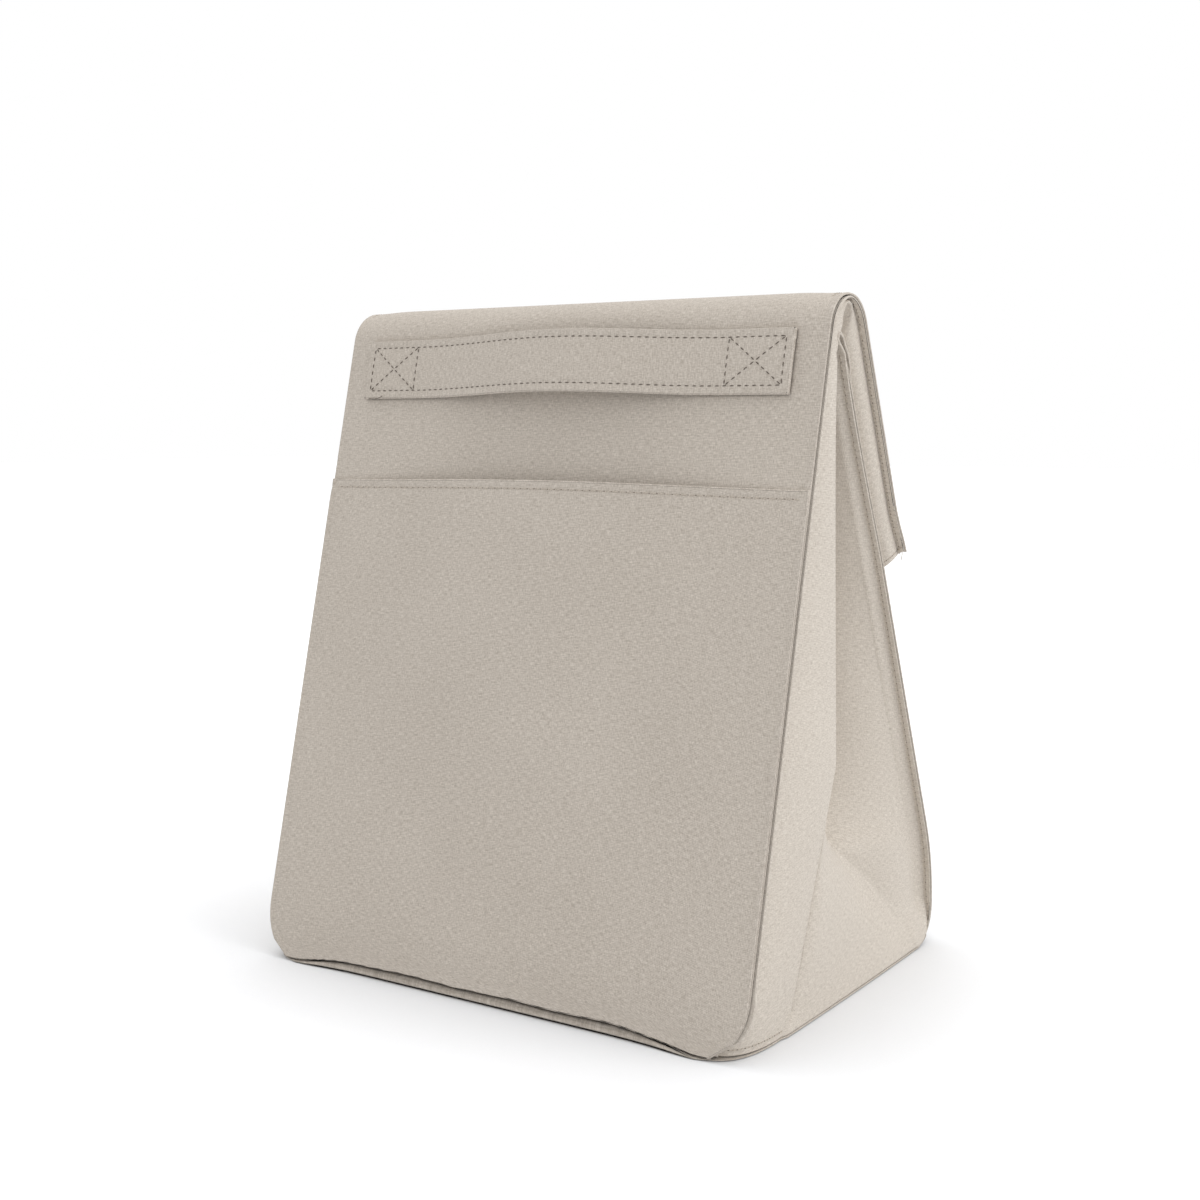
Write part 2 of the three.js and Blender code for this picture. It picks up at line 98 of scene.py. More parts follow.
def linen(name, pale, dark, relief=0.12):
    """Plain-woven linen and cotton canvas, unbleached: matt, with thick and thin threads both ways.
    Real threads are 0.4 mm apart, and are drawn 0.62 mm apart so that they show in the render."""
    material, tree, shader = new_material(name)
    place = node(tree, "ShaderNodeUVMap", uv_map="cloth").outputs["UV"]
    count = 1 / (thread_spacing * millimetre)
    threads = node(tree, "ShaderNodeVectorMath", {0: place, 1: (count, count, 1)}, operation="MULTIPLY")
    across = node(tree, "ShaderNodeSeparateXYZ", {0: threads.outputs[0]})
    waves = []
    for axis in ("X", "Y"):
        turn = node(tree, "ShaderNodeMath", {0: across.outputs[axis], 1: math.pi}, operation="MULTIPLY")
        waves.append(node(tree, "ShaderNodeMath", {0: turn.outputs[0]}, operation="SINE").outputs[0])
    crossing = node(tree, "ShaderNodeMath", {0: waves[0], 1: waves[1]}, operation="MULTIPLY")
    crowns = node(tree, "ShaderNodeMath", {0: crossing.outputs[0]}, operation="ABSOLUTE")
    slubs = []
    for stretch in ((1.0, 0.2, 1.0), (0.12, 1.0, 1.0)):
        drawn = node(tree, "ShaderNodeVectorMath", {0: threads.outputs[0], 1: stretch}, operation="MULTIPLY")
        slub = node(tree, "ShaderNodeTexNoise", {"Vector": drawn.outputs[0], "Scale": 1.7, "Detail": 1.0,
                                                 "Roughness": 0.6})
        slubs.append(slub.outputs["Fac"])
    both = node(tree, "ShaderNodeMath", {0: slubs[0], 1: slubs[1]}, operation="ADD")
    soft = node(tree, "ShaderNodeTexNoise", {"Vector": place, "Scale": 14.0, "Detail": 2.0})
    tone = node(tree, "ShaderNodeMath", {0: soft.outputs["Fac"], 1: 0.2, 2: both.outputs[0]},
                operation="MULTIPLY_ADD")
    weave = node(tree, "ShaderNodeMath", {0: crowns.outputs[0], 1: 0.36, 2: tone.outputs[0]},
                 operation="MULTIPLY_ADD")
    spread = node(tree, "ShaderNodeMapRange", {"Value": weave.outputs[0], "From Min": 0.88, "From Max": 1.64})
    colour = node(tree, "ShaderNodeMix", {0: spread.outputs[0], 6: srgb(dark), 7: srgb(pale)}, data_type="RGBA")
    # Painted shade: in seams, creases and gaps as narrow as a seam's, where hardly any light gets out, ambient
    # occlusion mixes the colour towards #564d43; the cloth stays pale where it meets the floor
    crevice_occlusion = node(tree, "ShaderNodeAmbientOcclusion", {"Distance": seam_depth * millimetre}, samples=4)
    open_share = node(tree, "ShaderNodeMapRange", {"Value": crevice_occlusion.outputs["AO"], "From Min": 0.08,
                                                   "From Max": 0.46})
    geometry = node(tree, "ShaderNodeNewGeometry", {})
    spot = node(tree, "ShaderNodeSeparateXYZ", {0: geometry.outputs["Position"]})
    at_floor = node(tree, "ShaderNodeMapRange", {"Value": spot.outputs["Z"], "From Min": 3.2 * millimetre,
                                                 "From Max": 1.6 * millimetre})
    painted_light_level = node(tree, "ShaderNodeMath", {0: open_share.outputs[0], 1: at_floor.outputs[0]}, operation="MAXIMUM")
    deep = node(tree, "ShaderNodeMix", {0: painted_light_level.outputs[0], 6: srgb("#564d43"), 7: colour.outputs[2]},
                data_type="RGBA")
    tree.links.new(deep.outputs[2], shader.inputs["Base Color"])
    height = node(tree, "ShaderNodeMath", {0: both.outputs[0], 1: 0.9, 2: crowns.outputs[0]},
                  operation="MULTIPLY_ADD")
    bump = node(tree, "ShaderNodeBump", {"Height": height.outputs[0], "Strength": 0.55,
                                         "Distance": relief * millimetre})
    rumple = node(tree, "ShaderNodeTexNoise", {"Vector": place, "Scale": 22.0, "Detail": 1.5})
    waved = node(tree, "ShaderNodeBump", {"Height": rumple.outputs["Fac"], "Strength": 0.5,
                                          "Distance": 1.6 * millimetre, "Normal": bump.outputs[0]})
    tree.links.new(waved.outputs[0], shader.inputs["Normal"])
    shader.inputs["Roughness"].default_value = 0.92
    shader.inputs["Specular IOR Level"].default_value = 0.25
    shader.inputs["Sheen Weight"].default_value = 0.12
    shader.inputs["Sheen Roughness"].default_value = 0.5
    return material


canvas = linen("linen_canvas", "#dcd3c8", "#aca296")
# Painted light: the side gussets are the same canvas, drawn in paler colours because more light falls on the
# sides than on the front
gusset_canvas_painted_lighter = linen("linen_canvas_gusset_painted_lighter", "#e3dbd0", "#b9afa3", relief=0.08)


def unit(v):
    return v / np.maximum(np.linalg.norm(v, axis=-1, keepdims=True), 1e-9)


def smooth(a, b, x):
    t = np.clip((np.asarray(x, float) - a) / (b - a), 0, 1)
    return t * t * (3 - 2 * t)


def facing(grid, side):
    """Normals over a grid of points"""
    return side * unit(np.cross(np.gradient(grid, axis=0), np.gradient(grid, axis=1)))


def run_length(grid, axis):
    """Distance run along a grid's rows or columns"""
    steps = np.linalg.norm(np.diff(grid, axis=axis), axis=2)
    start = np.zeros_like(np.take(steps, [0], axis=axis))
    return np.cumsum(np.concatenate([start, steps], axis=axis), axis=axis)


def add_mesh(name, points, faces, normals, maps, materials, face_material=None):
    mesh = bpy.data.meshes.new(name)
    mesh.from_pydata([tuple(p) for p in np.asarray(points) * millimetre], [], faces)
    mesh.polygons.foreach_set("use_smooth", [True] * len(mesh.polygons))
    for material in materials:
        mesh.materials.append(material)
    if maps is not None:
        layer = mesh.uv_layers.new(name="cloth")
        corner = np.zeros(len(mesh.loops), int)
        mesh.loops.foreach_get("vertex_index", corner)
        layer.data.foreach_set("uv", (np.asarray(maps)[corner] * millimetre).ravel())
    if face_material is not None:
        mesh.polygons.foreach_set("material_index", face_material)
    mesh.normals_split_custom_set_from_vertices([tuple(n) for n in normals])
    piece = bpy.data.objects.new(name, mesh)
    bpy.context.scene.collection.objects.link(piece)
    return piece


edge_round = 1.2


def cut_sheet(name, face, out, thickness, material, side=1, joined=(), maps=None, steps=4):
    """A sheet with real thickness under a grid of outer points. Its free edges are rounded, and the
    edges named in joined (first, last, left, right) are cut flat, to meet the next sheet."""
    face = np.array(face, float)
    rows, cols = face.shape[:2]
    thick = np.broadcast_to(np.asarray(thickness, float), (rows, cols))
    loop = [(0, j) for j in range(cols)] + [(i, cols - 1) for i in range(1, rows)]
    loop += [(rows - 1, j) for j in range(cols - 2, -1, -1)] + [(i, 0) for i in range(rows - 2, 0, -1)]
    names = ["first"] * (cols - 1) + ["right"] * (rows - 1) + ["last"] * (cols - 1) + ["left"] * (rows - 1)
    inwards = {"first": (1, 0), "right": (0, -1), "last": (-1, 0), "left": (0, 1)}
    ring = np.array(loop)
    count = len(loop)
    at = face[ring[:, 0], ring[:, 1]]
    normal = out[ring[:, 0], ring[:, 1]]
    inner = np.array([face[i + inwards[n][0], j + inwards[n][1]] if 0 <= i + inwards[n][0] < rows
                      and 0 <= j + inwards[n][1] < cols else face[rows // 2, cols // 2]
                      for (i, j), n in zip(loop, names)]) - at
    away = unit(np.cross(np.roll(at, -1, axis=0) - at, normal))
    away *= -np.sign((away * inner).sum(axis=1, keepdims=True) + 1e-12)
    free = np.array([0.0 if n in joined else 1.0 for n in names])[:, None]
    total = away * free + np.roll(away * free, 1, axis=0)
    outwards = np.where(np.linalg.norm(total, axis=1, keepdims=True) > 1e-6, unit(total), 0)
    edge_thick = np.minimum(thick[ring[:, 0], ring[:, 1]], 2 * edge_round)[:, None]
    at = at - outwards * edge_thick / 2
    face[ring[:, 0], ring[:, 1]] = at
    points = [face.reshape(-1, 3), (face - out * thick[..., None]).reshape(-1, 3)]
    normals = [out.reshape(-1, 3), -out.reshape(-1, 3)]
    for k in range(1, steps):
        turn = math.pi * k / steps
        lean = normal * math.cos(turn)
        points.append(at + normal * edge_thick / 2 * (math.cos(turn) - 1)
                      + outwards * edge_thick / 2 * math.sin(turn))
        normals.append(unit(lean + np.where(np.abs(outwards) > 0, outwards, away) * math.sin(turn)))
    grid = np.arange(rows * cols).reshape(rows, cols)
    front = np.stack([grid[:-1, :-1], grid[1:, :-1], grid[1:, 1:], grid[:-1, 1:]], -1).reshape(-1, 4)
    back = front[:, ::-1] + rows * cols
    on_face = ring[:, 0] * cols + ring[:, 1]
    levels = [on_face] + [2 * rows * cols + k * count + np.arange(count) for k in range(steps - 1)]
    levels.append(on_face + rows * cols)
    faces = [front, back]
    for a, b in zip(levels, levels[1:]):
        faces.append(np.stack([a, np.roll(a, -1), np.roll(b, -1), b], -1))
    faces = np.concatenate(faces)
    if side < 0:
        faces = faces[:, ::-1]
    if maps is None:
        maps = np.stack([run_length(face, 1), run_length(face, 0)], -1)
    flat = maps.reshape(-1, 2)
    spread = [flat, flat] + [flat[on_face] + 0.25 * k for k in range(1, steps)]
    return add_mesh(name, np.concatenate(points), faces.tolist(), np.concatenate(normals),
                    np.concatenate(spread), [material])


def eased(start, end, steps, power=1.0):
    """Places from start to end, closer together at the start when power is above 1"""
    return [start + (end - start) * (k / steps) ** power for k in range(steps + 1)]


# Distances in from the side edge at which every wide panel has a line of points: close over the sewn lip
edge_places = [0, 0.8, 1.6, 2.4, 3.2, 4, 4.8, 5.6, 6.6, 8, 10, 13, 17, 22, 28, 36, 45, 55, 66, 78, 91, 108]
shares = np.array([1 - e / half_width for e in edge_places])
shares = np.concatenate([-shares, [0.0], shares[::-1]])


def outline_half(rise, half, corner):
    """Half width of a panel with rounded bottom corners, at a distance up from its bottom edge"""
    return half - corner * np.interp(rise / corner, corner_rise, corner_cut)


# The corners are cut with a short straight run at the foot, then a curve: rise and cut as shares of the corner
corner_rise = [0, 0.3, 0.45, 0.64, 0.82, 1]
corner_cut = [0.65, 0.24, 0.14, 0.06, 0.015, 0]


def outline_rows(bottom, top, corner, steps, power=1.0):
    """Rows from a rounded bottom edge to the top"""
    low = [bottom + corner * (1 - math.cos(math.pi / 2 * k / 12)) for k in range(12)]
    return low + eased(bottom + corner, top, steps, power)


cloth_thickness = 1.0
front_length = (ridge_centre[1] + ridge_radius * front_out[1]) / math.cos(front_lean)
front_angle = math.pi - front_lean
ridge_turn = front_angle - back_lean
ridge_run = ridge_radius * ridge_turn
fold_axis = np.array([(back_face + fold_radius - fold_z * back_out[1]) / back_out[0], fold_z])
flap_start = -((ridge_centre - fold_axis) @ np.array([-back_out[1], back_out[0]]))
outer_flap = 105.8
hem_flare = 3.0
hem_flare_start = 80.0
lip_width = 4.0
panel_inset = 0.8
inset_end = (front_length + 18, front_length + 32)
foot_rise = 4.3
foot_rise_length = 42
foot_drop = 1.3
foot_wave = 0.3
puff = 0.6
seam_dip = 0.32


def heading(turn):
    return np.array([math.cos(turn), math.sin(turn)])


def outer_side(run, depth=0.0):
    """Side view point at a distance along the outer sheet, from the front's foot over the ridge to the hem"""
    if run <= front_length:
        return np.array([front_foot, 0.0]) + front_along * run - front_out * depth
    if run <= front_length + ridge_run:
        turn = front_angle - (run - front_length) / ridge_radius
        return ridge_centre + (ridge_radius - depth) * heading(turn)
    down = flap_start + run - front_length - ridge_run
    flare = hem_flare * float(smooth(hem_flare_start, outer_flap, down)) ** 1.3
    out = flap_out - depth + flare
    return fold_axis + back_out * out + np.array([back_out[1], -back_out[0]]) * down


def outer_run(down):
    """Distance along the outer sheet of a place on the flap, measured down from the fold"""
    return front_length + ridge_run + down - flap_start


def pillow(from_edge):
    """How far a padded panel stands proud of its sewn edge, with the dip where the lip begins"""
    dip = seam_dip * np.exp(-((from_edge - lip_width) / 0.9) ** 2)
    return puff * smooth(5, 22, from_edge) - dip


def inset_at(run):
    """The panel's edge lies inside the gusset's lip on the front, and level with it behind the ridge"""
    return panel_inset * (1 - float(smooth(*inset_end, run)))


def foot_lift(x, run):
    """The sewn foot of the front is drawn up between its corners, a little unevenly"""
    inside = np.clip(half_width - corner_radius - np.abs(x), 0, None)
    drawn = foot_rise * np.sin(math.pi / 2 * np.clip(inside / foot_rise_length, 0, 1)) - foot_drop
    drawn = drawn + foot_wave * np.sin(x / 8) * smooth(5, 30, inside)
    return drawn * (1 - smooth(0, 30, run - seam_rise))


def edge_distance(x, rise):
    """How far a place on a panel is from its sewn outline, whose bottom corners are round"""
    dx = np.maximum(np.abs(x) - (half_width - corner_radius), 0)
    dz = np.maximum(corner_radius - rise, 0)
    straight = np.minimum(half_width - np.abs(x), rise)
    return np.clip(np.where((dx > 0) & (dz > 0), corner_radius - np.hypot(dx, dz), straight), 0, None)


ridge_steps = 60
front_rows = outline_rows(seam_rise, front_length, corner_radius, 46)
ridge_rows = [front_length + ridge_run * k / ridge_steps for k in range(1, ridge_steps + 1)]
flap_rows = [outer_run(t) for t in eased(flap_start, outer_flap, 46)[1:]]
outer_rows = front_rows + ridge_rows + flap_rows
outer_grid = []
for run in outer_rows:
    xs = shares * (outline_half(run - seam_rise, half_width, corner_radius) - inset_at(run))
    outer_grid.append([(x, *outer_side(run + lift)) for x, lift in zip(xs, foot_lift(xs, run))])
outer_grid = np.array(outer_grid)
outer_normals = facing(outer_grid, -1)
outer_edge = edge_distance(outer_grid[..., 0], np.array(outer_rows)[:, None] - seam_rise)
outer_grid = outer_grid + outer_normals * pillow(outer_edge)[..., None]
outer_normals = facing(outer_grid, -1)
outer_maps = np.stack([outer_grid[..., 0], np.array(outer_rows)[:, None] + 0 * outer_grid[..., 0]], -1)


def metres(point):
    return tuple(float(c) * millimetre for c in point)


first_crease = len(front_rows) + ridge_steps // 3 - 1
second_crease = len(front_rows) + ridge_steps * 2 // 3 - 1
crease_points = [metres((0, *outer_side(front_length + ridge_run * k / 3))) for k in range(4)]
outer_parts = [
    ("front_cloth", 0, first_crease, ("last",), ("root", "ridge_front"), 0),
    ("ridge_cloth", first_crease, second_crease, ("first", "last"), ("ridge_front", "ridge_back"), 1),
    ("flap_cloth", second_crease, len(outer_rows) - 1, ("first",), ("ridge_back", "flap_outer"), 2),
]
for name, first, last, joined, bodies, crease in outer_parts:
    part = slice(first, last + 1)
    piece = cut_sheet(name, outer_grid[part], outer_normals[part], cloth_thickness, canvas, side=-1,
                      joined=joined, maps=outer_maps[part])
    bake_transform(piece)
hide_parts("front_shell")
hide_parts("ridge_fold_outer")
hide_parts("flap_outer_shell")

# Front padding and lining
# Behind the canvas lie a sheet of foam and a foil lining, both stopped short of the sewn lips. In the ridge
# they are two loose pads between the creases, so that the flap can unroll.
wall = 4.3
foam_thickness = 2.2
lining_thickness = 0.5
foam_half = 115.0
foam_depth = 1.3
lining_depth = 3.8

foam_white, tree, shader = new_material("polyethylene_foam")
# Closed cells of about a millimetre: matt and faintly pitted
spot = node(tree, "ShaderNodeTexCoord").outputs["Object"]
cells = node(tree, "ShaderNodeTexVoronoi", {"Vector": spot, "Scale": 1 / (0.9 * millimetre)})
tint = node(tree, "ShaderNodeMix", {0: cells.outputs["Distance"], 6: srgb("#d6d6d1"), 7: srgb("#eeeeea")},
            data_type="RGBA")
tree.links.new(tint.outputs[2], shader.inputs["Base Color"])
pores = node(tree, "ShaderNodeBump", {"Height": cells.outputs["Distance"], "Strength": 0.4,
                                      "Distance": 0.2 * millimetre})
tree.links.new(pores.outputs[0], shader.inputs["Normal"])
shader.inputs["Roughness"].default_value = 0.85

foil_lining, tree, shader = new_material("aluminised_peva_film")
# Thin metallised film: a soft silver gleam, broken up by small creases
spot = node(tree, "ShaderNodeTexCoord").outputs["Object"]
creases = node(tree, "ShaderNodeTexVoronoi", {"Vector": spot, "Scale": 1 / (9 * millimetre)},
               feature="DISTANCE_TO_EDGE")
ripples = node(tree, "ShaderNodeTexNoise", {"Vector": spot, "Scale": 1 / (6 * millimetre), "Detail": 4.0})
mixed = node(tree, "ShaderNodeMath", {0: creases.outputs["Distance"], 1: 0.6, 2: ripples.outputs["Fac"]},
             operation="MULTIPLY_ADD")
crinkle = node(tree, "ShaderNodeBump", {"Height": mixed.outputs[0], "Strength": 0.6,
                                        "Distance": 0.9 * millimetre})
tree.links.new(crinkle.outputs[0], shader.inputs["Normal"])
gleam = node(tree, "ShaderNodeMapRange", {"Value": ripples.outputs["Fac"], "To Min": 0.28, "To Max": 0.5})
tree.links.new(gleam.outputs[0], shader.inputs["Roughness"])
silver = node(tree, "ShaderNodeMix", {0: ripples.outputs["Fac"], 6: srgb("#b4b7bb"), 7: srgb("#d5d7da")},
              data_type="RGBA")
tree.links.new(silver.outputs[2], shader.inputs["Base Color"])
shader.inputs["Metallic"].default_value = 0.7


def layer(side_view, runs, depth, half=foam_half, bottom=None):
    """Grid of a layer that lies a depth below the face of a sheet, whose side view is a function"""
    rows = []
    for run in runs:
        wide = half if bottom is None else outline_half(run - bottom, half, corner_radius)
        y, z = side_view(run, depth(run) if callable(depth) else depth)
        rows.append([(s * wide, y, z) for s in shares])
    return np.array(rows)


def foam_and_lining(part, body, foam_grid, lining_grid, side=1, joined=()):
    """A sheet of foam and the foil lining over it, for one part of the bag"""
    foam = cut_sheet(part + "_foam_pad", foam_grid, facing(foam_grid, side), foam_thickness, foam_white,
                     side=side, joined=joined)
    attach(foam, body)
    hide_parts(part + "_foam")
    lining = cut_sheet(part + "_lining", lining_grid, facing(lining_grid, side), lining_thickness, foil_lining,
                       side=side, joined=joined)
    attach(lining, body)
    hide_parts(part + "_liner")


padding_bottom = 6.0
padding_rows = outline_rows(padding_bottom, front_length - 0.3, corner_radius, 30)
foam_and_lining("front", "root", layer(outer_side, padding_rows, foam_depth, bottom=padding_bottom),
                layer(outer_side, padding_rows, lining_depth, bottom=padding_bottom), side=-1)

pad_inset = 0.9
for name, body, start in (("ridge_pad_front", "ridge_front", 1 / 6), ("ridge_pad_back", "ridge_back", 1 / 2)):
    pad_runs = eased(front_length + ridge_run * start + pad_inset,
                     front_length + ridge_run * (start + 1 / 3) - pad_inset, 14)
    pad_grid = layer(outer_side, pad_runs, foam_depth)
    pad = cut_sheet(name + "_foam", pad_grid, facing(pad_grid, -1), wall - foam_depth, foam_white, side=-1)
    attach(pad, body)
    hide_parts(name)

# Front pocket
# A second piece of canvas over the lower front, sewn in with the panel's sides and foot and open along its
# hemmed top, where it gapes a little.
pocket_top = 217 / math.cos(front_lean)
pocket_gape = 7.0
pocket_hem = 7.0
pocket_hem_fold = 0.7
pocket_stitch_drop = 4
layer_gap = 0.3
pocket_rows = outline_rows(seam_rise, pocket_top - pocket_hem, corner_radius, 40)
pocket_rows += eased(pocket_top - pocket_hem, pocket_top, 9)[1:]


def on_front(x, run, lift):
    """A point at a place across and up the front's plane, lifted off it"""
    return (x, *(outer_side(run) + front_out * lift))


def pocket_lift(x, run):
    """How far the pocket's outer face stands off the plane of the front"""
    opening = pocket_gape * np.sin(math.pi / 2 * (run - seam_rise) / (pocket_top - seam_rise))
    bow = opening * (1 - np.minimum(1, np.abs(x) / 117) ** 2) ** 2
    hem = 0.25 * np.exp(-((pocket_top - run - pocket_stitch_drop) / 0.9) ** 2)
    return layer_gap + cloth_thickness + bow + pillow(edge_distance(x, run - seam_rise)) - hem


pocket_grid = []
for run in pocket_rows:
    xs = shares * (outline_half(run - seam_rise, half_width, corner_radius) - panel_inset)
    pocket_grid.append([on_front(x, run + up, lift)
                        for x, up, lift in zip(xs, foot_lift(xs, run), pocket_lift(xs, run))])
pocket_grid = np.array(pocket_grid)
hem_share = smooth(pocket_top - pocket_hem - 0.6, pocket_top - pocket_hem + 0.6, np.array(pocket_rows))
pocket_cloth = cut_sheet("pocket_cloth", pocket_grid, facing(pocket_grid, -1),
                         cloth_thickness + pocket_hem_fold * hem_share[:, None] * np.ones(len(shares)), canvas,
                         side=-1)
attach(pocket_cloth, "root")
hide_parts("pocket_panel")

# Handle
# A flat strap of doubled canvas, turned in at both long edges and topstitched. Its ends are sewn down with a
# crossed box, and the middle stands off the front for a hand.
strap_half = 110.75
strap_width = 27.7
strap_thickness = 2.0
strap_gap = 9.5
strap_box = 29.5
strap_margin = 3.7
strap_span = strap_half - strap_box
strap_top = front_length - 1.0


def strap_lift(x, up):
    """Height of the strap's outer face above the front, at a place along it and across it"""
    bow = strap_gap * 0.5 * (1 + np.cos(math.pi * np.clip(x / strap_span, -1, 1)))
    from_edge = np.minimum(up, strap_width - up)
    dip = 0.22 * np.exp(-((from_edge - strap_margin) / 0.7) ** 2)
    crown = 0.25 * smooth(0, strap_width / 2, from_edge)
    return layer_gap + bow + strap_thickness + crown - dip + pillow(half_width - np.abs(x))


def on_strap(x, up):
    return on_front(x, strap_top - strap_width + up, float(strap_lift(x, up)))


strap_x = np.array(eased(-strap_half, strap_half, 150))
strap_up = np.array([0, 0.5, 1.2, 2, 2.8, 3.7, 4.6, 5.5, 7, 9, 11.4, strap_width / 2])
strap_up = np.concatenate([strap_up, (strap_width - strap_up[:-1])[::-1]])
strap_grid = np.array([[on_strap(x, up) for up in strap_up] for x in strap_x])
strap_cloth = cut_sheet("handle_strap_cloth", strap_grid, facing(strap_grid, 1), strap_thickness, canvas)
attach(strap_cloth, "root")
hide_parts("handle_strap")

# Back and inner flap
# One length of canvas runs from under the heel up the back, turns tightly at the fold and comes down again as
# the flap's inner sheet. Foam and lining follow it round. It is cut at the top of the turn, where the flap
# lifts.
heel_radius = 17.0
bulge_radius = 99.4
bulge_cut = heel_radius * back_out[1] + bulge_radius * (1 - back_out[0])
back_bulge = (back_face - bulge_cut) / back_out[0]
back_foot = back_bulge - heel_radius
back_up = np.array([-back_out[1], back_out[0]])
heel_run = heel_radius * math.pi / 2
bulge_run = bulge_radius * back_lean
bulge_centre = np.array([back_bulge - bulge_radius, heel_radius])
bulge_top = bulge_centre + bulge_radius * back_out
fold_point = fold_axis - fold_radius * back_out
straight_run = float((fold_point - bulge_top) @ back_up)
fold_run = heel_run + bulge_run + straight_run
fold_turn_run = fold_radius * math.pi
inner_flap = 103.0
lip_root = 114.5
lip_bow = 2.3
lip_hump_in = 4.2
lip_hump_up = 4.8
lip_tuck = 3.1
lip_narrowing = 1.6


def back_side(run, depth=0.0):
    """Side view point at a distance along the back sheet, from under the heel over the fold to the inner hem"""
    if run <= heel_run:
        turn = run / heel_radius - math.pi / 2
        centre = np.array([back_foot, heel_radius])
        return centre + (heel_radius - depth) * heading(turn)
    if run <= heel_run + bulge_run:
        turn = (run - heel_run) / bulge_radius
        return bulge_centre + (bulge_radius - depth) * heading(turn)
    if run <= fold_run:
        return bulge_top + back_up * (run - heel_run - bulge_run) - back_out * depth
    if run <= fold_run + fold_turn_run:
        turn = math.pi + back_lean - (run - fold_run) / fold_radius
        return fold_axis + (fold_radius + depth) * heading(turn)
    return fold_axis + back_out * (fold_radius + depth) - back_up * (run - fold_run - fold_turn_run)


def inner_run(down):
    """Distance along the back sheet of a place on the flap's inner sheet, measured down from the fold"""
    return fold_run + fold_turn_run + down


def lip_shift(run, x):
    """How far the back sheet's sewn lips are drawn inwards, and upwards, off the sheet's plane: bowed in below
    the fold, humped over it, and tucked against the back again on the flap"""
    weight = smooth(lip_root, half_width - lip_width, np.abs(x))
    past = run - fold_run
    top = fold_turn_run / 2
    bow = lip_bow * np.sin(math.pi * np.clip((abs(past - top) - top) / 95, 0, 1) ** 0.6)
    hump = smooth(-3, top, past) * (1 - smooth(top, 12, past))
    tuck = lip_tuck * smooth(fold_turn_run + 5, 36, past)
    return weight * (bow + lip_hump_in * hump + tuck), weight * lip_hump_up * hump


def lip_narrowed(run, x):
    """The inner sheet's lips lie a little nearer the middle than the back's, which they hide behind"""
    near_fold = np.exp(-((run - fold_run - fold_turn_run / 2) / 11) ** 2)
    drawn = lip_narrowing * smooth(fold_run + 3, fold_run + 22, run) + lip_narrowing * near_fold
    return x - np.sign(x) * smooth(lip_root, half_width - 1, np.abs(x)) * drawn


def shifted(run, x, depth):
    """Point on the back sheet with the shift of its lips"""
    y, z = back_side(run, depth)
    inwards, upwards = lip_shift(run, x)
    return (float(lip_narrowed(run, x)), y - back_out[0] * inwards + back_up[0] * upwards,
            z - back_out[1] * inwards + back_up[1] * upwards)


heel_steps = 16
back_rows = eased(0, heel_run, heel_steps) + eased(heel_run, heel_run + bulge_run, 14)[1:]
back_rows += eased(heel_run + bulge_run, fold_run, 50)[1:]
back_rows += eased(fold_run, fold_run + fold_turn_run / 2, 8)[1:]
inner_rows = eased(fold_run + fold_turn_run / 2, fold_run + fold_turn_run, 8)
inner_rows += eased(inner_run(0), inner_run(inner_flap), 40)[1:]
cloth_rows = np.array(back_rows + inner_rows[1:])
back_grid = layer(back_side, cloth_rows, 0.0, half=half_width)
puffed = smooth(3, 14, np.abs(cloth_rows - fold_run - fold_turn_run / 2)) * smooth(6, 30, cloth_rows)
raised = pillow(half_width - np.abs(back_grid[..., 0])) * puffed[:, None]
back_grid = back_grid + facing(back_grid, 1) * raised[..., None]
for grid_row, run in zip(back_grid, cloth_rows):
    inwards, upwards = lip_shift(run, grid_row[:, 0])
    grid_row[:, 1:] += upwards[:, None] * back_up - inwards[:, None] * back_out
    grid_row[:, 0] = lip_narrowed(run, grid_row[:, 0])
back_normals = facing(back_grid, 1)
back_maps = np.stack([back_grid[..., 0], cloth_rows[:, None] + 0 * back_grid[..., 0]], -1)
half_turn = len(back_rows) - 1
back_cloth = cut_sheet("back_cloth", back_grid[:half_turn + 1], back_normals[:half_turn + 1], cloth_thickness,
                       canvas, joined=("last",), maps=back_maps[:half_turn + 1])
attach(back_cloth, "root")
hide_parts("back_shell", "ridge_fold_inner")
inner_cloth = cut_sheet("flap_inner_cloth", back_grid[half_turn:], back_normals[half_turn:], cloth_thickness,
                        canvas, joined=("first",), maps=back_maps[half_turn:])
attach(inner_cloth, "flap_inner")
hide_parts("flap_inner_shell")


foam_end = 8


def thinned(hem):
    """Depth of a lining that comes out to the cloth over the last stretch before a hem"""
    return lambda run: lining_depth - 2.3 * float(smooth(hem - 13, hem - 4, run))


back_layer_rows = eased(2, heel_run, 10) + back_rows[heel_steps + 1:]
foam_and_lining("back", "root", layer(back_side, back_layer_rows, foam_depth),
                layer(back_side, back_layer_rows, lining_depth), joined=("last",))
inner_end = inner_run(inner_flap)
foam_and_lining("flap_inner", "flap_inner",
                layer(back_side, [r for r in inner_rows if r < inner_end - foam_end], foam_depth),
                layer(back_side, [r for r in inner_rows if r < inner_end - 1], thinned(inner_end)),
                joined=("first",))

# Outer flap padding
# The same foam and lining behind the flap's outer sheet; the foam ends short of the hem, where cloth and
# lining are sewn flat together.
flap_runs = [outer_run(t) for t in eased(flap_start + 0.3, outer_flap - 1, 44)]
flap_foam_runs = [r for r in flap_runs if r < outer_run(outer_flap - foam_end)]
foam_and_lining("flap_outer", "flap_outer", layer(outer_side, flap_foam_runs, foam_depth),
                layer(outer_side, flap_runs, thinned(outer_run(outer_flap))), side=-1)

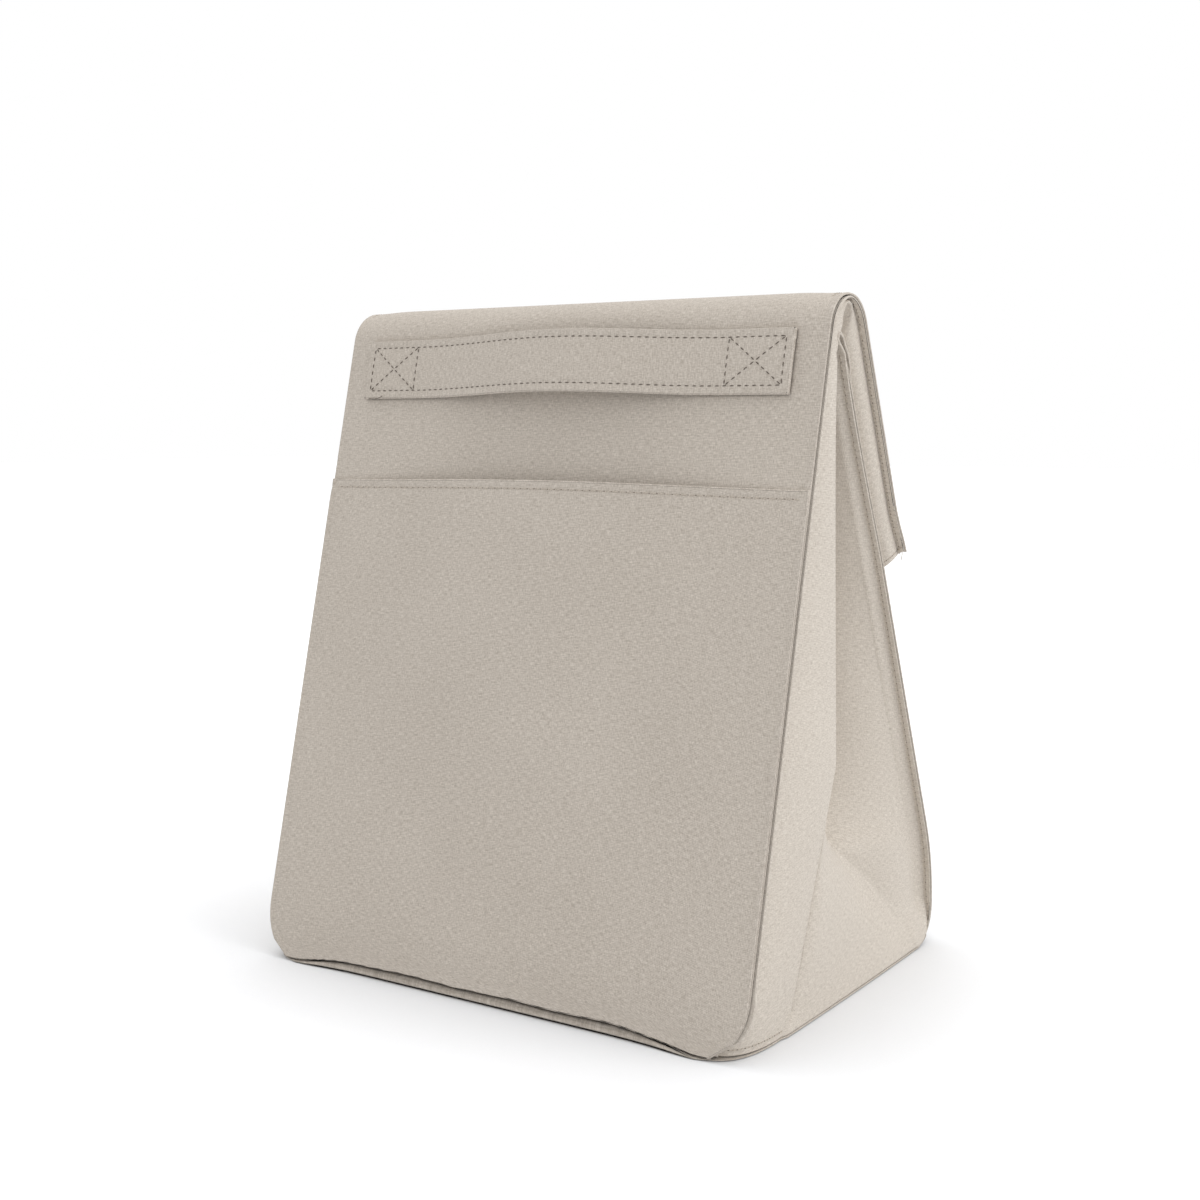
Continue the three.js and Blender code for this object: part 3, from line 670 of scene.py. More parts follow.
# Side gussets
# Each side is a panel of the same canvas, as wide as the base is deep. Its edges are sewn into the front's and
# the back's lips, and it pleats inwards: a strip behind the front, a sharp crease, and a deep fold that opens
# out into a triangle over the base. A thin foil lining follows it inside.
gusset_thickness = 0.8
gusset_lining_thickness = 1.2
pleat_thickness = 2.3
lip_x = half_width - lip_width
apex_height = 56.0
gusset_top = fold_z - 3.0
notch_inset = 6.0
foot_half = half_width + 1.2
foot_spread_height = 24
foot_stand = 1.4
valley_softness = 6
strip_lean = 1.4
# Behind the crease's foot the cloth is tucked under the strip: steps behind the tip, inwards and back
tucked_points = ((1, 0.9, 0.6), (2, 4.8, 1.4), (3, 4.8, 3.4), (4, 1.5, 5.4))
back_tuck = 2.5
leg_counts = [5, 14, 16, 16, 4, 5]
bend_count = 6
lip_columns = leg_counts[0] + bend_count
crease_column = lip_columns + leg_counts[1] + bend_count // 2
valley_column = crease_column + bend_count + leg_counts[2]
last_column = sum(leg_counts) + bend_count * (len(leg_counts) - 1)
gusset_foot = 1.35
lip_crack = 1.0
lip_stand = 0.1
lip_swell = np.interp(np.arange(last_column + 1),
                      [0, 4, 8, last_column - 8, last_column - 4, last_column], [0.8, 0.8, 0, 0, 0.2, 0.2])
gusset_thick = gusset_thickness + lip_swell
gusset_offset = gusset_thickness / 2 + lip_swell
lip_depth = cloth_thickness + layer_gap + gusset_thickness / 2


def back_run(z):
    """Distance along the back sheet of a height on its straight upper part"""
    return fold_run - (fold_z - z) / back_out[0]


def front_y(z, depth=0.0):
    return front_foot + z * math.tan(front_lean) + depth / math.cos(front_lean)


def back_y(z, depth=0.0):
    if z < heel_radius:
        reach = (heel_radius - depth) ** 2 - (heel_radius - z) ** 2
        return back_foot + math.sqrt(max(0.0, reach))
    lean = math.asin(min(1.0, (z - heel_radius) / (bulge_radius - depth)))
    if lean < back_lean:
        return back_bulge - bulge_radius + (bulge_radius - depth) * math.cos(lean)
    return (back_face - depth - z * back_out[1]) / back_out[0]


def pleat_reach(z):
    """How far behind the front the outer crease lies"""
    depth = back_y(z) - front_y(z)
    reach = (min(36 + 0.19 * z, 0.41 * depth) ** 3 + 10.0 ** 3) ** (1 / 3)
    return min(reach, depth - (wall + layer_gap + pleat_thickness) / back_out[0] - 1.2)


def valley(z):
    """Inner fold: what is left of the gusset's width runs in and out again in two equal legs"""
    start = front_y(z) + pleat_reach(z)
    end = back_y(z, wall + layer_gap + pleat_thickness)
    leg = (back_foot - front_foot - pleat_reach(z) - pleat_thickness - wall) / 2
    return np.array([half_width - math.sqrt(leg ** 2 - ((end - start) / 2) ** 2), (start + end) / 2])


def curved(start, middle, end, t):
    """Point at a share t of a curve from start to end that is drawn towards middle"""
    return (1 - t) ** 2 * start + 2 * t * (1 - t) * middle + t * t * end


def rounded_line(corners, cuts, counts, bows):
    """A line through corners, each cut back and rounded, with each straight leg bowed sideways"""
    corners = [np.array(c, float) for c in corners]
    line = []
    starts = [corners[0]]
    ends = []
    for i in range(1, len(corners) - 1):
        before = corners[i - 1] - corners[i]
        after = corners[i + 1] - corners[i]
        cut = min(cuts[i - 1], 0.45 * np.linalg.norm(before), 0.45 * np.linalg.norm(after))
        ends.append(corners[i] + unit(before) * cut)
        starts.append(corners[i] + unit(after) * cut)
    ends.append(corners[-1])
    for i, (a, b) in enumerate(zip(starts, ends)):
        across = unit(np.array([(b - a)[1], -(b - a)[0]]))
        last = i == len(ends) - 1
        for k in range(counts[i] + (1 if last else 0)):
            t = k / counts[i]
            line.append(a + (b - a) * t + across * bows[i] * 4 * t * (1 - t))
        if not last:
            line += [curved(b, corners[i + 1], starts[i + 1], k / bend_count) for k in range(bend_count)]
    return np.array(line)


def gusset_line(z):
    """Level line through the right gusset, from the front lip's edge to the back lip's edge"""
    lip_front = front_y(z, lip_depth)
    lip_back = back_y(z, lip_depth)
    inwards = float(lip_shift(back_run(z), half_width)[0]) / back_out[0]
    spread = 1 - float(smooth(0, foot_spread_height, z))
    edge = float(outline_half(z / math.cos(front_lean) - seam_rise, half_width, corner_radius))
    turn = edge - lip_width - gusset_thickness / 2
    reach = pleat_reach(z)
    flare = 0.2 * reach
    crease = np.array([min(half_width - gusset_thickness, lip_x + flare), front_y(z) + reach])
    fold = valley(max(z, apex_height))
    softness = 1.2
    if z < apex_height:
        share = z / apex_height
        fold = np.array([foot_half, back_foot - notch_inset]) * (1 - share) + fold * share
        softness += valley_softness * math.sin(math.pi * share) ** 0.8
    back_turn = np.array([lip_x - back_tuck, back_y(z, wall + layer_gap + pleat_thickness)])
    back_turn[0] += (foot_half - back_turn[0]) * spread
    mouth = back_turn[1] - crease[1]
    stand = lip_stand + foot_stand * (1 - float(smooth(14, 34, z)))
    corners = [(edge + stand, lip_front + lip_crack - layer_gap), (turn, lip_front), crease, fold, back_turn,
               (lip_x + (foot_half - 0.6 - lip_x) * spread, lip_back - inwards),
               (half_width - layer_gap + 0.6 * spread, lip_back - inwards)]
    cuts = [1.0, min(2.4, flare), softness, 1.6, 1.0]
    bow = 0.6 + 0.012 * reach + 0.022 * reach * (1 - float(smooth(70, 160, z)))
    hollow = 0.03 * mouth * float(smooth(0, apex_height, z)) + 0.4
    full = (0.03 * float(smooth(0, apex_height, z)) + 0.08 * float(smooth(apex_height, 150, z))) * mouth + 0.4
    line = rounded_line(corners, cuts, leg_counts, [0, bow, hollow, full, 0, 0])
    # Near the foot the strip curves round the front's corner, and near the top it leans back
    fullness = 1 - float(smooth(1, 30, z))
    first, last = lip_columns, lip_columns + leg_counts[1]
    start, end = line[first].copy(), line[last].copy()
    corner = np.array([end[0], start[1]])
    for j in range(first, last + 1):
        line[j] += (curved(start, corner, end, (j - first) / (last - first)) - line[j]) * fullness
    tip = crease_column
    back_set = strip_lean * float(smooth(244, 266, z))
    line[first:tip + 1, 1] += back_set * np.linspace(0, 1, tip + 1 - first)
    line[tip + 1:tip + 20, 1] += back_set * (1 - smooth(0, 4, line[tip, 0] - line[tip + 1:tip + 20, 0]))
    tucked = (1 - float(smooth(60, 92, z))) * float(smooth(2, 12, z))
    for k, inwards, back in tucked_points:
        line[tip + k] += (line[tip] + (-inwards, back) - line[tip + k]) * tucked
    return line


gusset_rows = [r * math.cos(front_lean) for r in outline_rows(seam_rise, apex_height, corner_radius, 18)]
gusset_rows = [gusset_foot, 0.5 * (gusset_foot + seam_rise)] + gusset_rows
gusset_rows += eased(gusset_rows[-1], gusset_top, 60)[1:]
gusset_lines = [gusset_line(z) for z in gusset_rows]
gusset_grid = np.array([[(x, y, z) for x, y in line] for line, z in zip(gusset_lines, gusset_rows)])
gusset_out = facing(gusset_grid, -1)
gusset_u = run_length(gusset_grid, 1)
gusset_u = gusset_u - gusset_u[:, crease_column:crease_column + 1]
behind_crease = gusset_u[:, -1:] / np.median(gusset_u[:, -1])
gusset_u = np.where(gusset_u > 0, gusset_u / behind_crease, gusset_u)
gusset_v = run_length(gusset_grid, 0)[:, crease_column:crease_column + 1] + 0 * gusset_u
gusset_maps = np.stack([gusset_u, gusset_v], -1)
hands = (("right", np.ones(3), -1), ("left", np.array([-1.0, 1.0, 1.0]), 1))
lining_columns = slice(lip_columns, valley_column + bend_count // 2 + leg_counts[3])
for name, flip, side in hands:
    outer_face = (gusset_grid + gusset_out * gusset_offset[:, None]) * flip
    cloth = cut_sheet(f"gusset_{name}_cloth", outer_face, gusset_out * flip, gusset_thick, gusset_canvas_painted_lighter,
                      side=side, joined=("last",), maps=gusset_maps)
    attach(cloth, "root")
    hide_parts(f"gusset_{name}_shell")
    inner_face = gusset_grid - gusset_out * (gusset_thickness / 2 + layer_gap)
    lining = cut_sheet(f"gusset_{name}_film", (inner_face * flip)[:, lining_columns],
                       (gusset_out * flip)[:, lining_columns], gusset_lining_thickness, foil_lining, side=side,
                       joined=("last",))
    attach(lining, "root")
    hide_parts(f"gusset_{name}_lining")

# Base cloth
# The last panel sewn on: linen canvas under the bag, cut to the line of the gussets' feet. Along the front its
# edge is rolled up to the seam; at the sides it shows as a thin edge, and behind it runs into the heel.
base_cloth_thickness = 1.2
base_seam_gap = 0.25
rim_lift = 0.5
rim_push = 2.6
base_margin = 0.6
base_front = front_foot + 0.9
base_rows = eased(base_front, base_front + corner_radius, 24, power=2.2)
base_rows += eased(base_front + corner_radius, back_foot - 0.3, 40)[1:]
foot_line = gusset_line(gusset_foot)[lip_columns:]
foot_line = foot_line[np.argmax(foot_line[:, 0] > foot_line[0, 0] + 1):valley_column - lip_columns]
foot_y = np.concatenate([[base_front, base_front + 0.8], foot_line[:, 1] - base_margin, [back_foot - 1]])
foot_x = np.concatenate([[foot_line[0, 0] - 5, foot_line[0, 0] - 1.5], foot_line[:, 0] + base_margin,
                         [foot_half]])
base_half = np.interp(base_rows, foot_y, foot_x)
base_grid = np.array([[(s * half, y, 0.0) for s in shares] for y, half in zip(base_rows, base_half)])
from_front = base_grid[..., 1] - base_front
from_edge = np.minimum(from_front, base_half[:, None] - np.abs(base_grid[..., 0]))
roll = (1 - smooth(1.5, 7, from_edge)) * (1 - smooth(6, 30, from_front))
pushed = rim_push * np.exp(-((np.abs(base_grid[..., 0]) - half_width + corner_radius) / 20) ** 2)
base_grid[..., 1] -= pushed * (1 - smooth(4, 24, from_front))
rolled = seam_rise + foot_lift(base_grid[..., 0], seam_rise) - base_seam_gap
roll_thickness = base_cloth_thickness + (rolled - base_cloth_thickness) * roll
rim_rise = rim_lift * (1 - smooth(0, 5, from_edge))
base_grid[..., 2] = rim_rise
roll_thickness = roll_thickness - rim_rise
base_cloth = cut_sheet("base_cloth", base_grid, facing(base_grid, 1), roll_thickness, canvas)
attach(base_cloth, "root")
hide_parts("base_shell")

# Base insert
# A stiff grey board lies loose on the base cloth, with a sheet of foam and a foil lining over it.
# The board keeps its CAD solid. Foam: closed-cell polyethylene, matt white with fine cells.
insert_half = 114.0
insert_corner = 24.0
insert_front = base_front + (wall + layer_gap) / math.cos(front_lean) + 1.0
insert_foam_top = 5.5
insert_lining_top = 6.3

grey_board, tree, shader = new_material("grey_fibreboard")
# Pressed fibres: dark, matt, with a faint mottle
spot = node(tree, "ShaderNodeTexCoord").outputs["Object"]
fibres = node(tree, "ShaderNodeTexNoise", {"Vector": spot, "Scale": 1 / (1.5 * millimetre), "Detail": 6.0})
mottle = node(tree, "ShaderNodeMix", {0: fibres.outputs["Fac"], 6: srgb("#35383b"), 7: srgb("#4a4d50")},
              data_type="RGBA")
tree.links.new(mottle.outputs[2], shader.inputs["Base Color"])
grain = node(tree, "ShaderNodeBump", {"Height": fibres.outputs["Fac"], "Strength": 0.3,
                                      "Distance": 0.15 * millimetre})
tree.links.new(grain.outputs[0], shader.inputs["Normal"])
shader.inputs["Roughness"].default_value = 0.7
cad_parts["base_board"].data.materials.clear()
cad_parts["base_board"].data.materials.append(grey_board)


def insert_layer(z):
    """Level grid with the insert's rounded front corners"""
    rows = outline_rows(insert_front, back_foot - 0.5, insert_corner, 24)
    return np.array([[(s * outline_half(y - insert_front, insert_half, insert_corner), y, z) for s in shares]
                     for y in rows])


foam_and_lining("base", "root", insert_layer(insert_foam_top), insert_layer(insert_lining_top),
                side=-1)

# Gussets in the ridge and the flap
# The pleat runs on over the ridge under the outer cloth, and its other half turns with the back cloth at the
# fold. In the flap both halves lie flat on their sheets and meet in a deep fold, open at the side.
top_line = gusset_lines[-1]
top_points = np.array([(y, gusset_top) for x, y in top_line])
front_start = (top_points - np.array([front_foot, 0.0])) @ front_along
front_depth = (top_points - np.array([front_foot, 0.0])) @ -front_out
back_start = fold_run + (top_points - fold_point) @ back_up
back_depth = (top_points - fold_point) @ -back_out
back_depth -= [lip_shift(run, x)[0] for run, x in zip(back_start, top_line[:, 0])]
column = np.arange(len(top_line))
valley_x = float(top_line[valley_column, 0])
gusset_flap_start = 1.3
gusset_flap_end = 104.4
leg_depth = wall + layer_gap + pleat_thickness
droop = 4.6
droop_start = 60
closed_crease_x = 123
closed_crease_depth = lip_depth + 1.6
crease_deepening = 1.6
# Distances along the outer sheet between which each change of the folded gusset's shape takes place
deepening_runs = (front_length - 16, front_length + 3)
closing_runs = (front_length + 11, front_length + 27)
lip_closing_runs = (front_length + 20, front_length + 28)
opening_runs = (front_length + 27, front_length + ridge_run + 8)
front_x = top_line[:valley_column + 1, 0]
front_d = front_depth[:valley_column + 1]
back_x = top_line[valley_column:, 0]
back_d = back_depth[valley_column:]
flat_back_d = np.where((column[:len(back_x)] < 4) | (back_x > lip_x - 0.5), back_d,
                       lip_depth + (leg_depth - lip_depth) * smooth(0, 11, lip_x - back_x))


def with_flat_lip():
    """The pleat's line at its top, with the lip laid against the outer sheet"""
    x, depth = front_x.copy(), front_d.copy()
    x[:lip_columns] = np.minimum(x[:lip_columns], half_width - layer_gap)
    depth[:lip_columns] = lip_depth
    return x, depth


# At the top of the ridge the strip has closed to nothing, and the fold starts at the lip
closed_x, closed_d = with_flat_lip()
strip = np.arange(lip_columns, crease_column + 4)
closed_x[strip] = np.interp(strip, [strip[0], crease_column, strip[-1]],
                            [front_x[lip_columns - 1], closed_crease_x, closed_crease_x - 0.4])
closed_d[strip] = np.interp(strip, [strip[0], crease_column, strip[-1]],
                            [lip_depth, closed_crease_depth, closed_crease_depth + 0.4])
leg = np.arange(crease_column + 4, valley_column + 1)
closed_x[leg] = np.interp(leg, [leg[0], leg[-1]], [closed_x[strip[-1]] - 1, front_x[-1]])
deepened = smooth(-2, 12, lip_x - closed_x[leg])
closed_d[leg] = closed_d[strip[-1]] + (front_d[-1] - closed_d[strip[-1]]) * deepened

# In the flap a strip of it faces sideways again, and rounds over into the fold between the two sheets
slope_end = np.array([115.5, 11.2])
slope_crown = np.array([121.6, 9.5])
level_start = (109, 9.7)
flat_x, flat_d = with_flat_lip()
slope_columns = 26
lip_end = np.array([front_x[lip_columns - 1], lip_depth])
for k in range(slope_columns + 1):
    at = curved(lip_end, slope_crown, slope_end, k / slope_columns)
    flat_x[lip_columns - 1 + k], flat_d[lip_columns - 1 + k] = at
level = np.arange(lip_columns + slope_columns, valley_column + 1)
level_knots = [level[0] - 1, level[0] + 2, level[-1]]
flat_x[level] = np.interp(level, level_knots, [slope_end[0], level_start[0], front_x[-1]])
flat_d[level] = np.interp(level, level_knots, [slope_end[1], level_start[1], front_d[-1]])


def drooped(x, run, start, end):
    """The hem of the gusset hangs lower between the lips than at them"""
    return run + droop * float(smooth(start, end, run)) ** 2 * np.clip((half_width - x) / 8, 0, 1)


crease_reach = np.interp(np.arange(len(front_x)), [lip_columns, crease_column, crease_column + 6], [0, 1, 0])


def strip_closing(run):
    return float(smooth(*closing_runs, run))


def outer_fold_row(run):
    """One row of the gusset against the outer sheet: the pleat's strip narrows to nothing over the ridge"""
    closing = strip_closing(run)
    opening = float(smooth(*opening_runs, run))
    deeper = crease_deepening * float(smooth(*deepening_runs, run)) * crease_reach
    x = front_x + (closed_x - front_x) * closing
    depth = front_d + deeper
    depth = depth + (closed_d - depth) * closing
    x = x + (flat_x - x) * opening
    depth = depth + (flat_d - depth) * opening
    closed = float(smooth(*lip_closing_runs, run))
    depth[:lip_columns] -= layer_gap * closed
    x[:lip_columns] = np.minimum(x[:lip_columns], half_width - 0.5 * closed)
    runs = drooped(x, run, outer_run(droop_start), outer_run(gusset_flap_end))
    return [(a, *outer_side(r, d)) for a, r, d in zip(x, runs, depth)]


def inner_fold_row(run):
    """One row of the gusset against the inner sheet"""
    share = float(smooth(fold_run + fold_turn_run, inner_run(14), run))
    depth = back_d * (1 - share) + flat_back_d * share
    runs = drooped(back_x, run, inner_run(droop_start), inner_run(gusset_flap_end))
    return [shifted(r, a, d) for a, r, d in zip(back_x, runs, depth)]


level_front = [(x, y, gusset_top) for x, y in top_line[:valley_column + 1]]
level_back = [(x, y, gusset_top) for x, y in top_line[valley_column:]]
ridge_start = float(front_start[:valley_column + 1].max()) + 1
fold_start = float(back_start[valley_column:].max()) + 0.5
crown_steps = 48
turn_steps = 20
outer_runs = eased(ridge_start, front_length, 5)
outer_runs += [front_length + ridge_run * k / crown_steps for k in range(1, crown_steps + 1)]
outer_runs += eased(outer_run(flap_start), outer_run(gusset_flap_start), 4)[1:]
outer_flap_runs = eased(outer_run(gusset_flap_start), outer_run(gusset_flap_end), 44)
inner_runs = eased(fold_start, fold_run, 3)
inner_runs += [fold_run + fold_turn_run * k / turn_steps for k in range(1, turn_steps + 1)]
inner_runs += [inner_run(gusset_flap_start)]
inner_flap_runs = eased(inner_run(gusset_flap_start), inner_run(gusset_flap_end), 44)
outer_fold_grid = np.array([level_front] + [outer_fold_row(run) for run in outer_runs + outer_flap_runs[1:]])
inner_fold_grid = np.array([level_back] + [inner_fold_row(run) for run in inner_runs + inner_flap_runs[1:]])
outer_fold_out = facing(outer_fold_grid, -1)
inner_fold_out = facing(inner_fold_grid, -1)
outer_cuts = [0, 6 + crown_steps // 3, 6 + crown_steps * 2 // 3, len(outer_runs), len(outer_fold_grid) - 1]
inner_cuts = [0, 4 + turn_steps // 2, len(inner_runs), len(inner_fold_grid) - 1]
outer_swell = np.array([1.0] + [1 - strip_closing(run) for run in outer_runs + outer_flap_runs[1:]])[:, None]
outer_swell = outer_swell * lip_swell[:valley_column + 1]
inner_swell = np.ones((len(inner_fold_grid), 1)) * lip_swell[valley_column:]
turning = metres((valley_x * 2 - half_width, 0, 0))[0]
edge = half_width * millimetre
fold_sheets = {"outer": (outer_fold_grid, outer_fold_out, outer_cuts, outer_swell),
               "inner": (inner_fold_grid, inner_fold_out, inner_cuts, inner_swell)}
fold_parts = [
    # name, sheet, its rows, bodies, start and end of its bend, CAD node, flat size
    ("ridge_gusset_{}_front", "outer", (0, 1), ("root", "ridge_front"), crease_points[0:2],
     "gusset_fold_{}_front", (0.092, 0.021)),
    ("ridge_gusset_{}_middle", "outer", (1, 2), ("ridge_front", "ridge_back"), crease_points[1:3],
     "gusset_fold_{}_front", (0.092, 0.01)),
    ("ridge_gusset_{}_rear", "outer", (2, 3), ("ridge_back", "flap_outer"), crease_points[2:4],
     "gusset_fold_{}_front", (0.092, 0.014)),
    ("flap_gusset_{}_outer", "outer", (3, 4), ("flap_inner", "flap_outer"), [(turning, 0, 0), (edge, 0, 0)],
     "flap_gusset_{}", (0.092, 0.1)),
    ("fold_gusset_{}_root", "inner", (0, 1), ("root",), None, "gusset_fold_{}_back", (0.092, 0.026)),
    ("fold_gusset_{}_flap", "inner", (1, 2), ("flap_inner",), None, "gusset_fold_{}_back", (0.092, 0.018)),
    ("flap_gusset_{}_inner", "inner", (2, 3), ("flap_inner", "flap_outer"), [(edge, 0, 0), (turning, 0, 0)],
     "flap_gusset_{}", (0.092, 0.1)),
]
for side_name, flip, side in hands:
    for name, sheet, (first, last), bodies, bend, solid, flat in fold_parts:
        grid, out, cuts, swell = fold_sheets[sheet]
        rows = slice(cuts[first], cuts[last] + 1)
        face = (grid[rows] + out[rows] * (gusset_thickness / 2 + swell[rows])[..., None]) * flip
        hem = last == len(cuts) - 1
        cloth = cut_sheet(name.format(side_name), face, out[rows] * flip, gusset_thickness + swell[rows],
                          gusset_canvas_painted_lighter, side=side, joined=("first",) if hem else ("first", "last"))
        if bend is None:
            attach(cloth, bodies[0])
        else:
            ends = [tuple(np.array(p) * flip) for p in bend]
            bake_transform(cloth)
        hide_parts(solid.format(side_name))

# Magnetic snap
# Two pressed steel discs, plated with nickel, close the flap on the back; each has a plate behind the cloth.
# These keep their CAD solids. Nickel plate: bright, slightly warm, with faint scuffs that soften its gleam.
nickel, tree, shader = new_material("nickel_plated_steel")
spot = node(tree, "ShaderNodeTexCoord").outputs["Object"]
scuffs = node(tree, "ShaderNodeTexNoise", {"Vector": spot, "Scale": 1 / (0.8 * millimetre), "Detail": 5.0})
wear = node(tree, "ShaderNodeMapRange", {"Value": scuffs.outputs["Fac"], "To Min": 0.16, "To Max": 0.4})
tree.links.new(wear.outputs[0], shader.inputs["Roughness"])
plate = node(tree, "ShaderNodeMix", {0: scuffs.outputs["Fac"], 6: srgb("#b9b4aa"), 7: srgb("#d2cec5")},
             data_type="RGBA")
tree.links.new(plate.outputs[2], shader.inputs["Base Color"])
shader.inputs["Metallic"].default_value = 1.0
for name in ("snap_socket", "snap_stud", "snap_socket_washer", "snap_stud_washer"):
    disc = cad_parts[name]
    disc.data.materials.clear()
    disc.data.materials.append(nickel)

# Stitching
# Lockstitch in polyester thread of the cloth's own colour, and a darker one on the strap. Rows run 4 mm inside
# the lips of the ridge, the flap, the back and the gussets, along each hem and round the strap, whose ends have
# a box with a cross. Some ends are left untrimmed.
stitch_pitch = 3.5
stitch_length = 2.7
stitch_width = 0.5
hole_length = 0.9


def thread(name, pale, dark):
    """Two plies twisted together: satin, with fine slanting ridges"""
    material, tree, shader = new_material(name)
    place = node(tree, "ShaderNodeUVMap", uv_map="cloth").outputs["UV"]
    plies = node(tree, "ShaderNodeTexWave", {"Vector": place, "Scale": 1 / (2 * millimetre)},
                 bands_direction="DIAGONAL")
    tinge = node(tree, "ShaderNodeMix", {0: plies.outputs["Fac"], 6: srgb(dark), 7: srgb(pale)}, data_type="RGBA")
    tree.links.new(tinge.outputs[2], shader.inputs["Base Color"])
    twist = node(tree, "ShaderNodeBump", {"Height": plies.outputs["Fac"], "Strength": 0.5,
                                          "Distance": 0.1 * millimetre})
    tree.links.new(twist.outputs[0], shader.inputs["Normal"])
    shader.inputs["Roughness"].default_value = 0.6
    return material


seam_thread = thread("polyester_thread", "#cdc3b6", "#ada294")
strap_thread = thread("polyester_thread_dark", "#70665b", "#574e45")
# Painted shade: a darker thread colour for the small beads in the needle holes, which lie in shade
needle_hole_shade_thread = thread("polyester_thread_painted_shade_in_needle_holes", "#94897c", "#7b7165")


def sew(name, seams, body, start=None, end=None, pitch=stitch_pitch, length=stitch_length, top=seam_thread,
        tails=(), holes=True):
    """One bead of thread per stitch along each seam, given as points on the cloth and its normals, and a small
    bead of darker thread where the thread dips into the needle hole between two: painted shade of the hole.
    Tails are untrimmed ends, each a list of points. The thread rides on one body, unless start is given: then it
    stays where it is, on no body. end is not used."""
    sides = 6
    points, normals, faces, maps, slots = [], [], [], [], []

    def lay(centres, radii, up, slot):
        first = len(points)
        rings = len(centres)
        for r, (at, radius) in enumerate(zip(centres, radii)):
            along = centres[min(r + 1, rings - 1)] - centres[max(r - 1, 0)]
            across = unit(np.cross(up, along))
            over = unit(np.cross(along, across))
            for s in range(sides):
                turn = 2 * math.pi * s / sides
                ray = across * math.cos(turn) + over * math.sin(turn)
                points.append(at + ray * radius)
                normals.append(ray)
                maps.append((s * 0.3, r * length / rings))
        for r in range(rings - 1):
            for s in range(sides):
                a = first + r * sides + s
                b = first + r * sides + (s + 1) % sides
                faces.append((a, b, b + sides, a + sides))
        faces.append(tuple(first + s for s in reversed(range(sides))))
        faces.append(tuple(first + (rings - 1) * sides + s for s in range(sides)))
        slots.extend([slot] * (len(faces) - len(slots)))

    arch = np.linspace(-1, 1, 5)
    for line, out in seams:
        line = np.array(line, float)
        out = np.array(out, float)
        run = np.concatenate([[0], np.cumsum(np.linalg.norm(np.diff(line, axis=0), axis=1))])
        number = max(1, int(round(run[-1] / pitch)))
        beads = [((k + 0.5) * run[-1] / number, length, 0.3, 0) for k in range(number)]
        # Painted shade of each needle hole: a small bead of the darker thread between two stitches
        if holes:
            beads += [(k * run[-1] / number, hole_length, 0.12, 1) for k in range(1, number)]
        for middle, long, height, slot in beads:
            up = unit(np.array([np.interp(middle, run, out[:, a]) for a in range(3)]))
            centres = [np.array([np.interp(middle + long / 2 * u, run, line[:, a]) for a in range(3)])
                       + up * stitch_width * (height - 0.55 * u * u) for u in arch]
            lay(centres, [stitch_width / 2 * math.sqrt(max(0.05, 1 - 0.8 * u * u)) for u in arch], up, slot)
    for tail, up in tails:
        lay([np.array(p, float) for p in tail], [0.32 * stitch_width] * len(tail), np.array(up, float), 0)
    piece = add_mesh(name, points, faces, normals, maps, [top, needle_hole_shade_thread], slots)
    if start is None:
        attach(piece, body)
    else:
        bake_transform(piece)
    return piece


def curl(start, middle, end, steps=12):
    """A short curved length of loose thread"""
    start, middle, end = (np.array(p, float) for p in (start, middle, end))
    return [curved(start, middle, end, t) for t in np.linspace(0, 1, steps)]


stitch_columns = [int(np.argmin(np.abs(shares * half_width - s * lip_x))) for s in (-1, 1)]


def along_lips(face, out, rows):
    """The seams along both lips of a panel"""
    return [(face[rows, j], out[rows, j]) for j in stitch_columns]


hem_xs = np.array(eased(-lip_x, lip_x, 120))
hem_at = pocket_top - pocket_stitch_drop
hem_line = [on_front(x, hem_at, lift) for x, lift in zip(hem_xs, pocket_lift(hem_xs, hem_at))]
sew("pocket_stitches", [(hem_line, [(0, *front_out)] * len(hem_line))], "root")

hem_stitch_drop = 3
inside = slice(stitch_columns[0], stitch_columns[1] + 1)
for name, first, last, _, bodies, crease in outer_parts[1:]:
    seams = along_lips(outer_grid, outer_normals, slice(first, last + 1))
    tails = []
    if name == "flap_cloth":
        hem_row = int(np.argmin(np.abs(np.array(outer_rows) - outer_run(outer_flap - hem_stitch_drop))))
        seams.append((outer_grid[hem_row, inside], outer_normals[hem_row, inside]))
        knot = outer_grid[hem_row, stitch_columns[1]] + outer_normals[hem_row, stitch_columns[1]] * 0.5
        tails = [(curl(knot, knot + (2.5, 1.5, -1.0), knot + (1.0, 1.2, -6.5)), (0, 1, 0)),
                 (curl(knot, knot + (-1.5, 2.5, -2.0), knot + (0.5, 1.0, -3.5)), (0, 1, 0))]
    sew(name.replace("cloth", "stitches"), seams, bodies, crease_points[crease], crease_points[crease + 1],
        tails=tails)

sew("back_stitches", along_lips(back_grid, back_normals, slice(4, half_turn - 6)), "root")
inner_hem = int(np.argmin(np.abs(cloth_rows - inner_run(inner_flap - hem_stitch_drop))))
inner_seams = along_lips(back_grid, back_normals, slice(half_turn + 8, None))
inner_seams.append((back_grid[inner_hem, inside], back_normals[inner_hem, inside]))
sew("flap_inner_stitches", inner_seams, "flap_inner")


def on_both_sides(face, out, *places):
    """The same seams on the right and on the left"""
    return [(face[place] * flip, out[place] * flip) for _, flip, _ in hands for place in places]


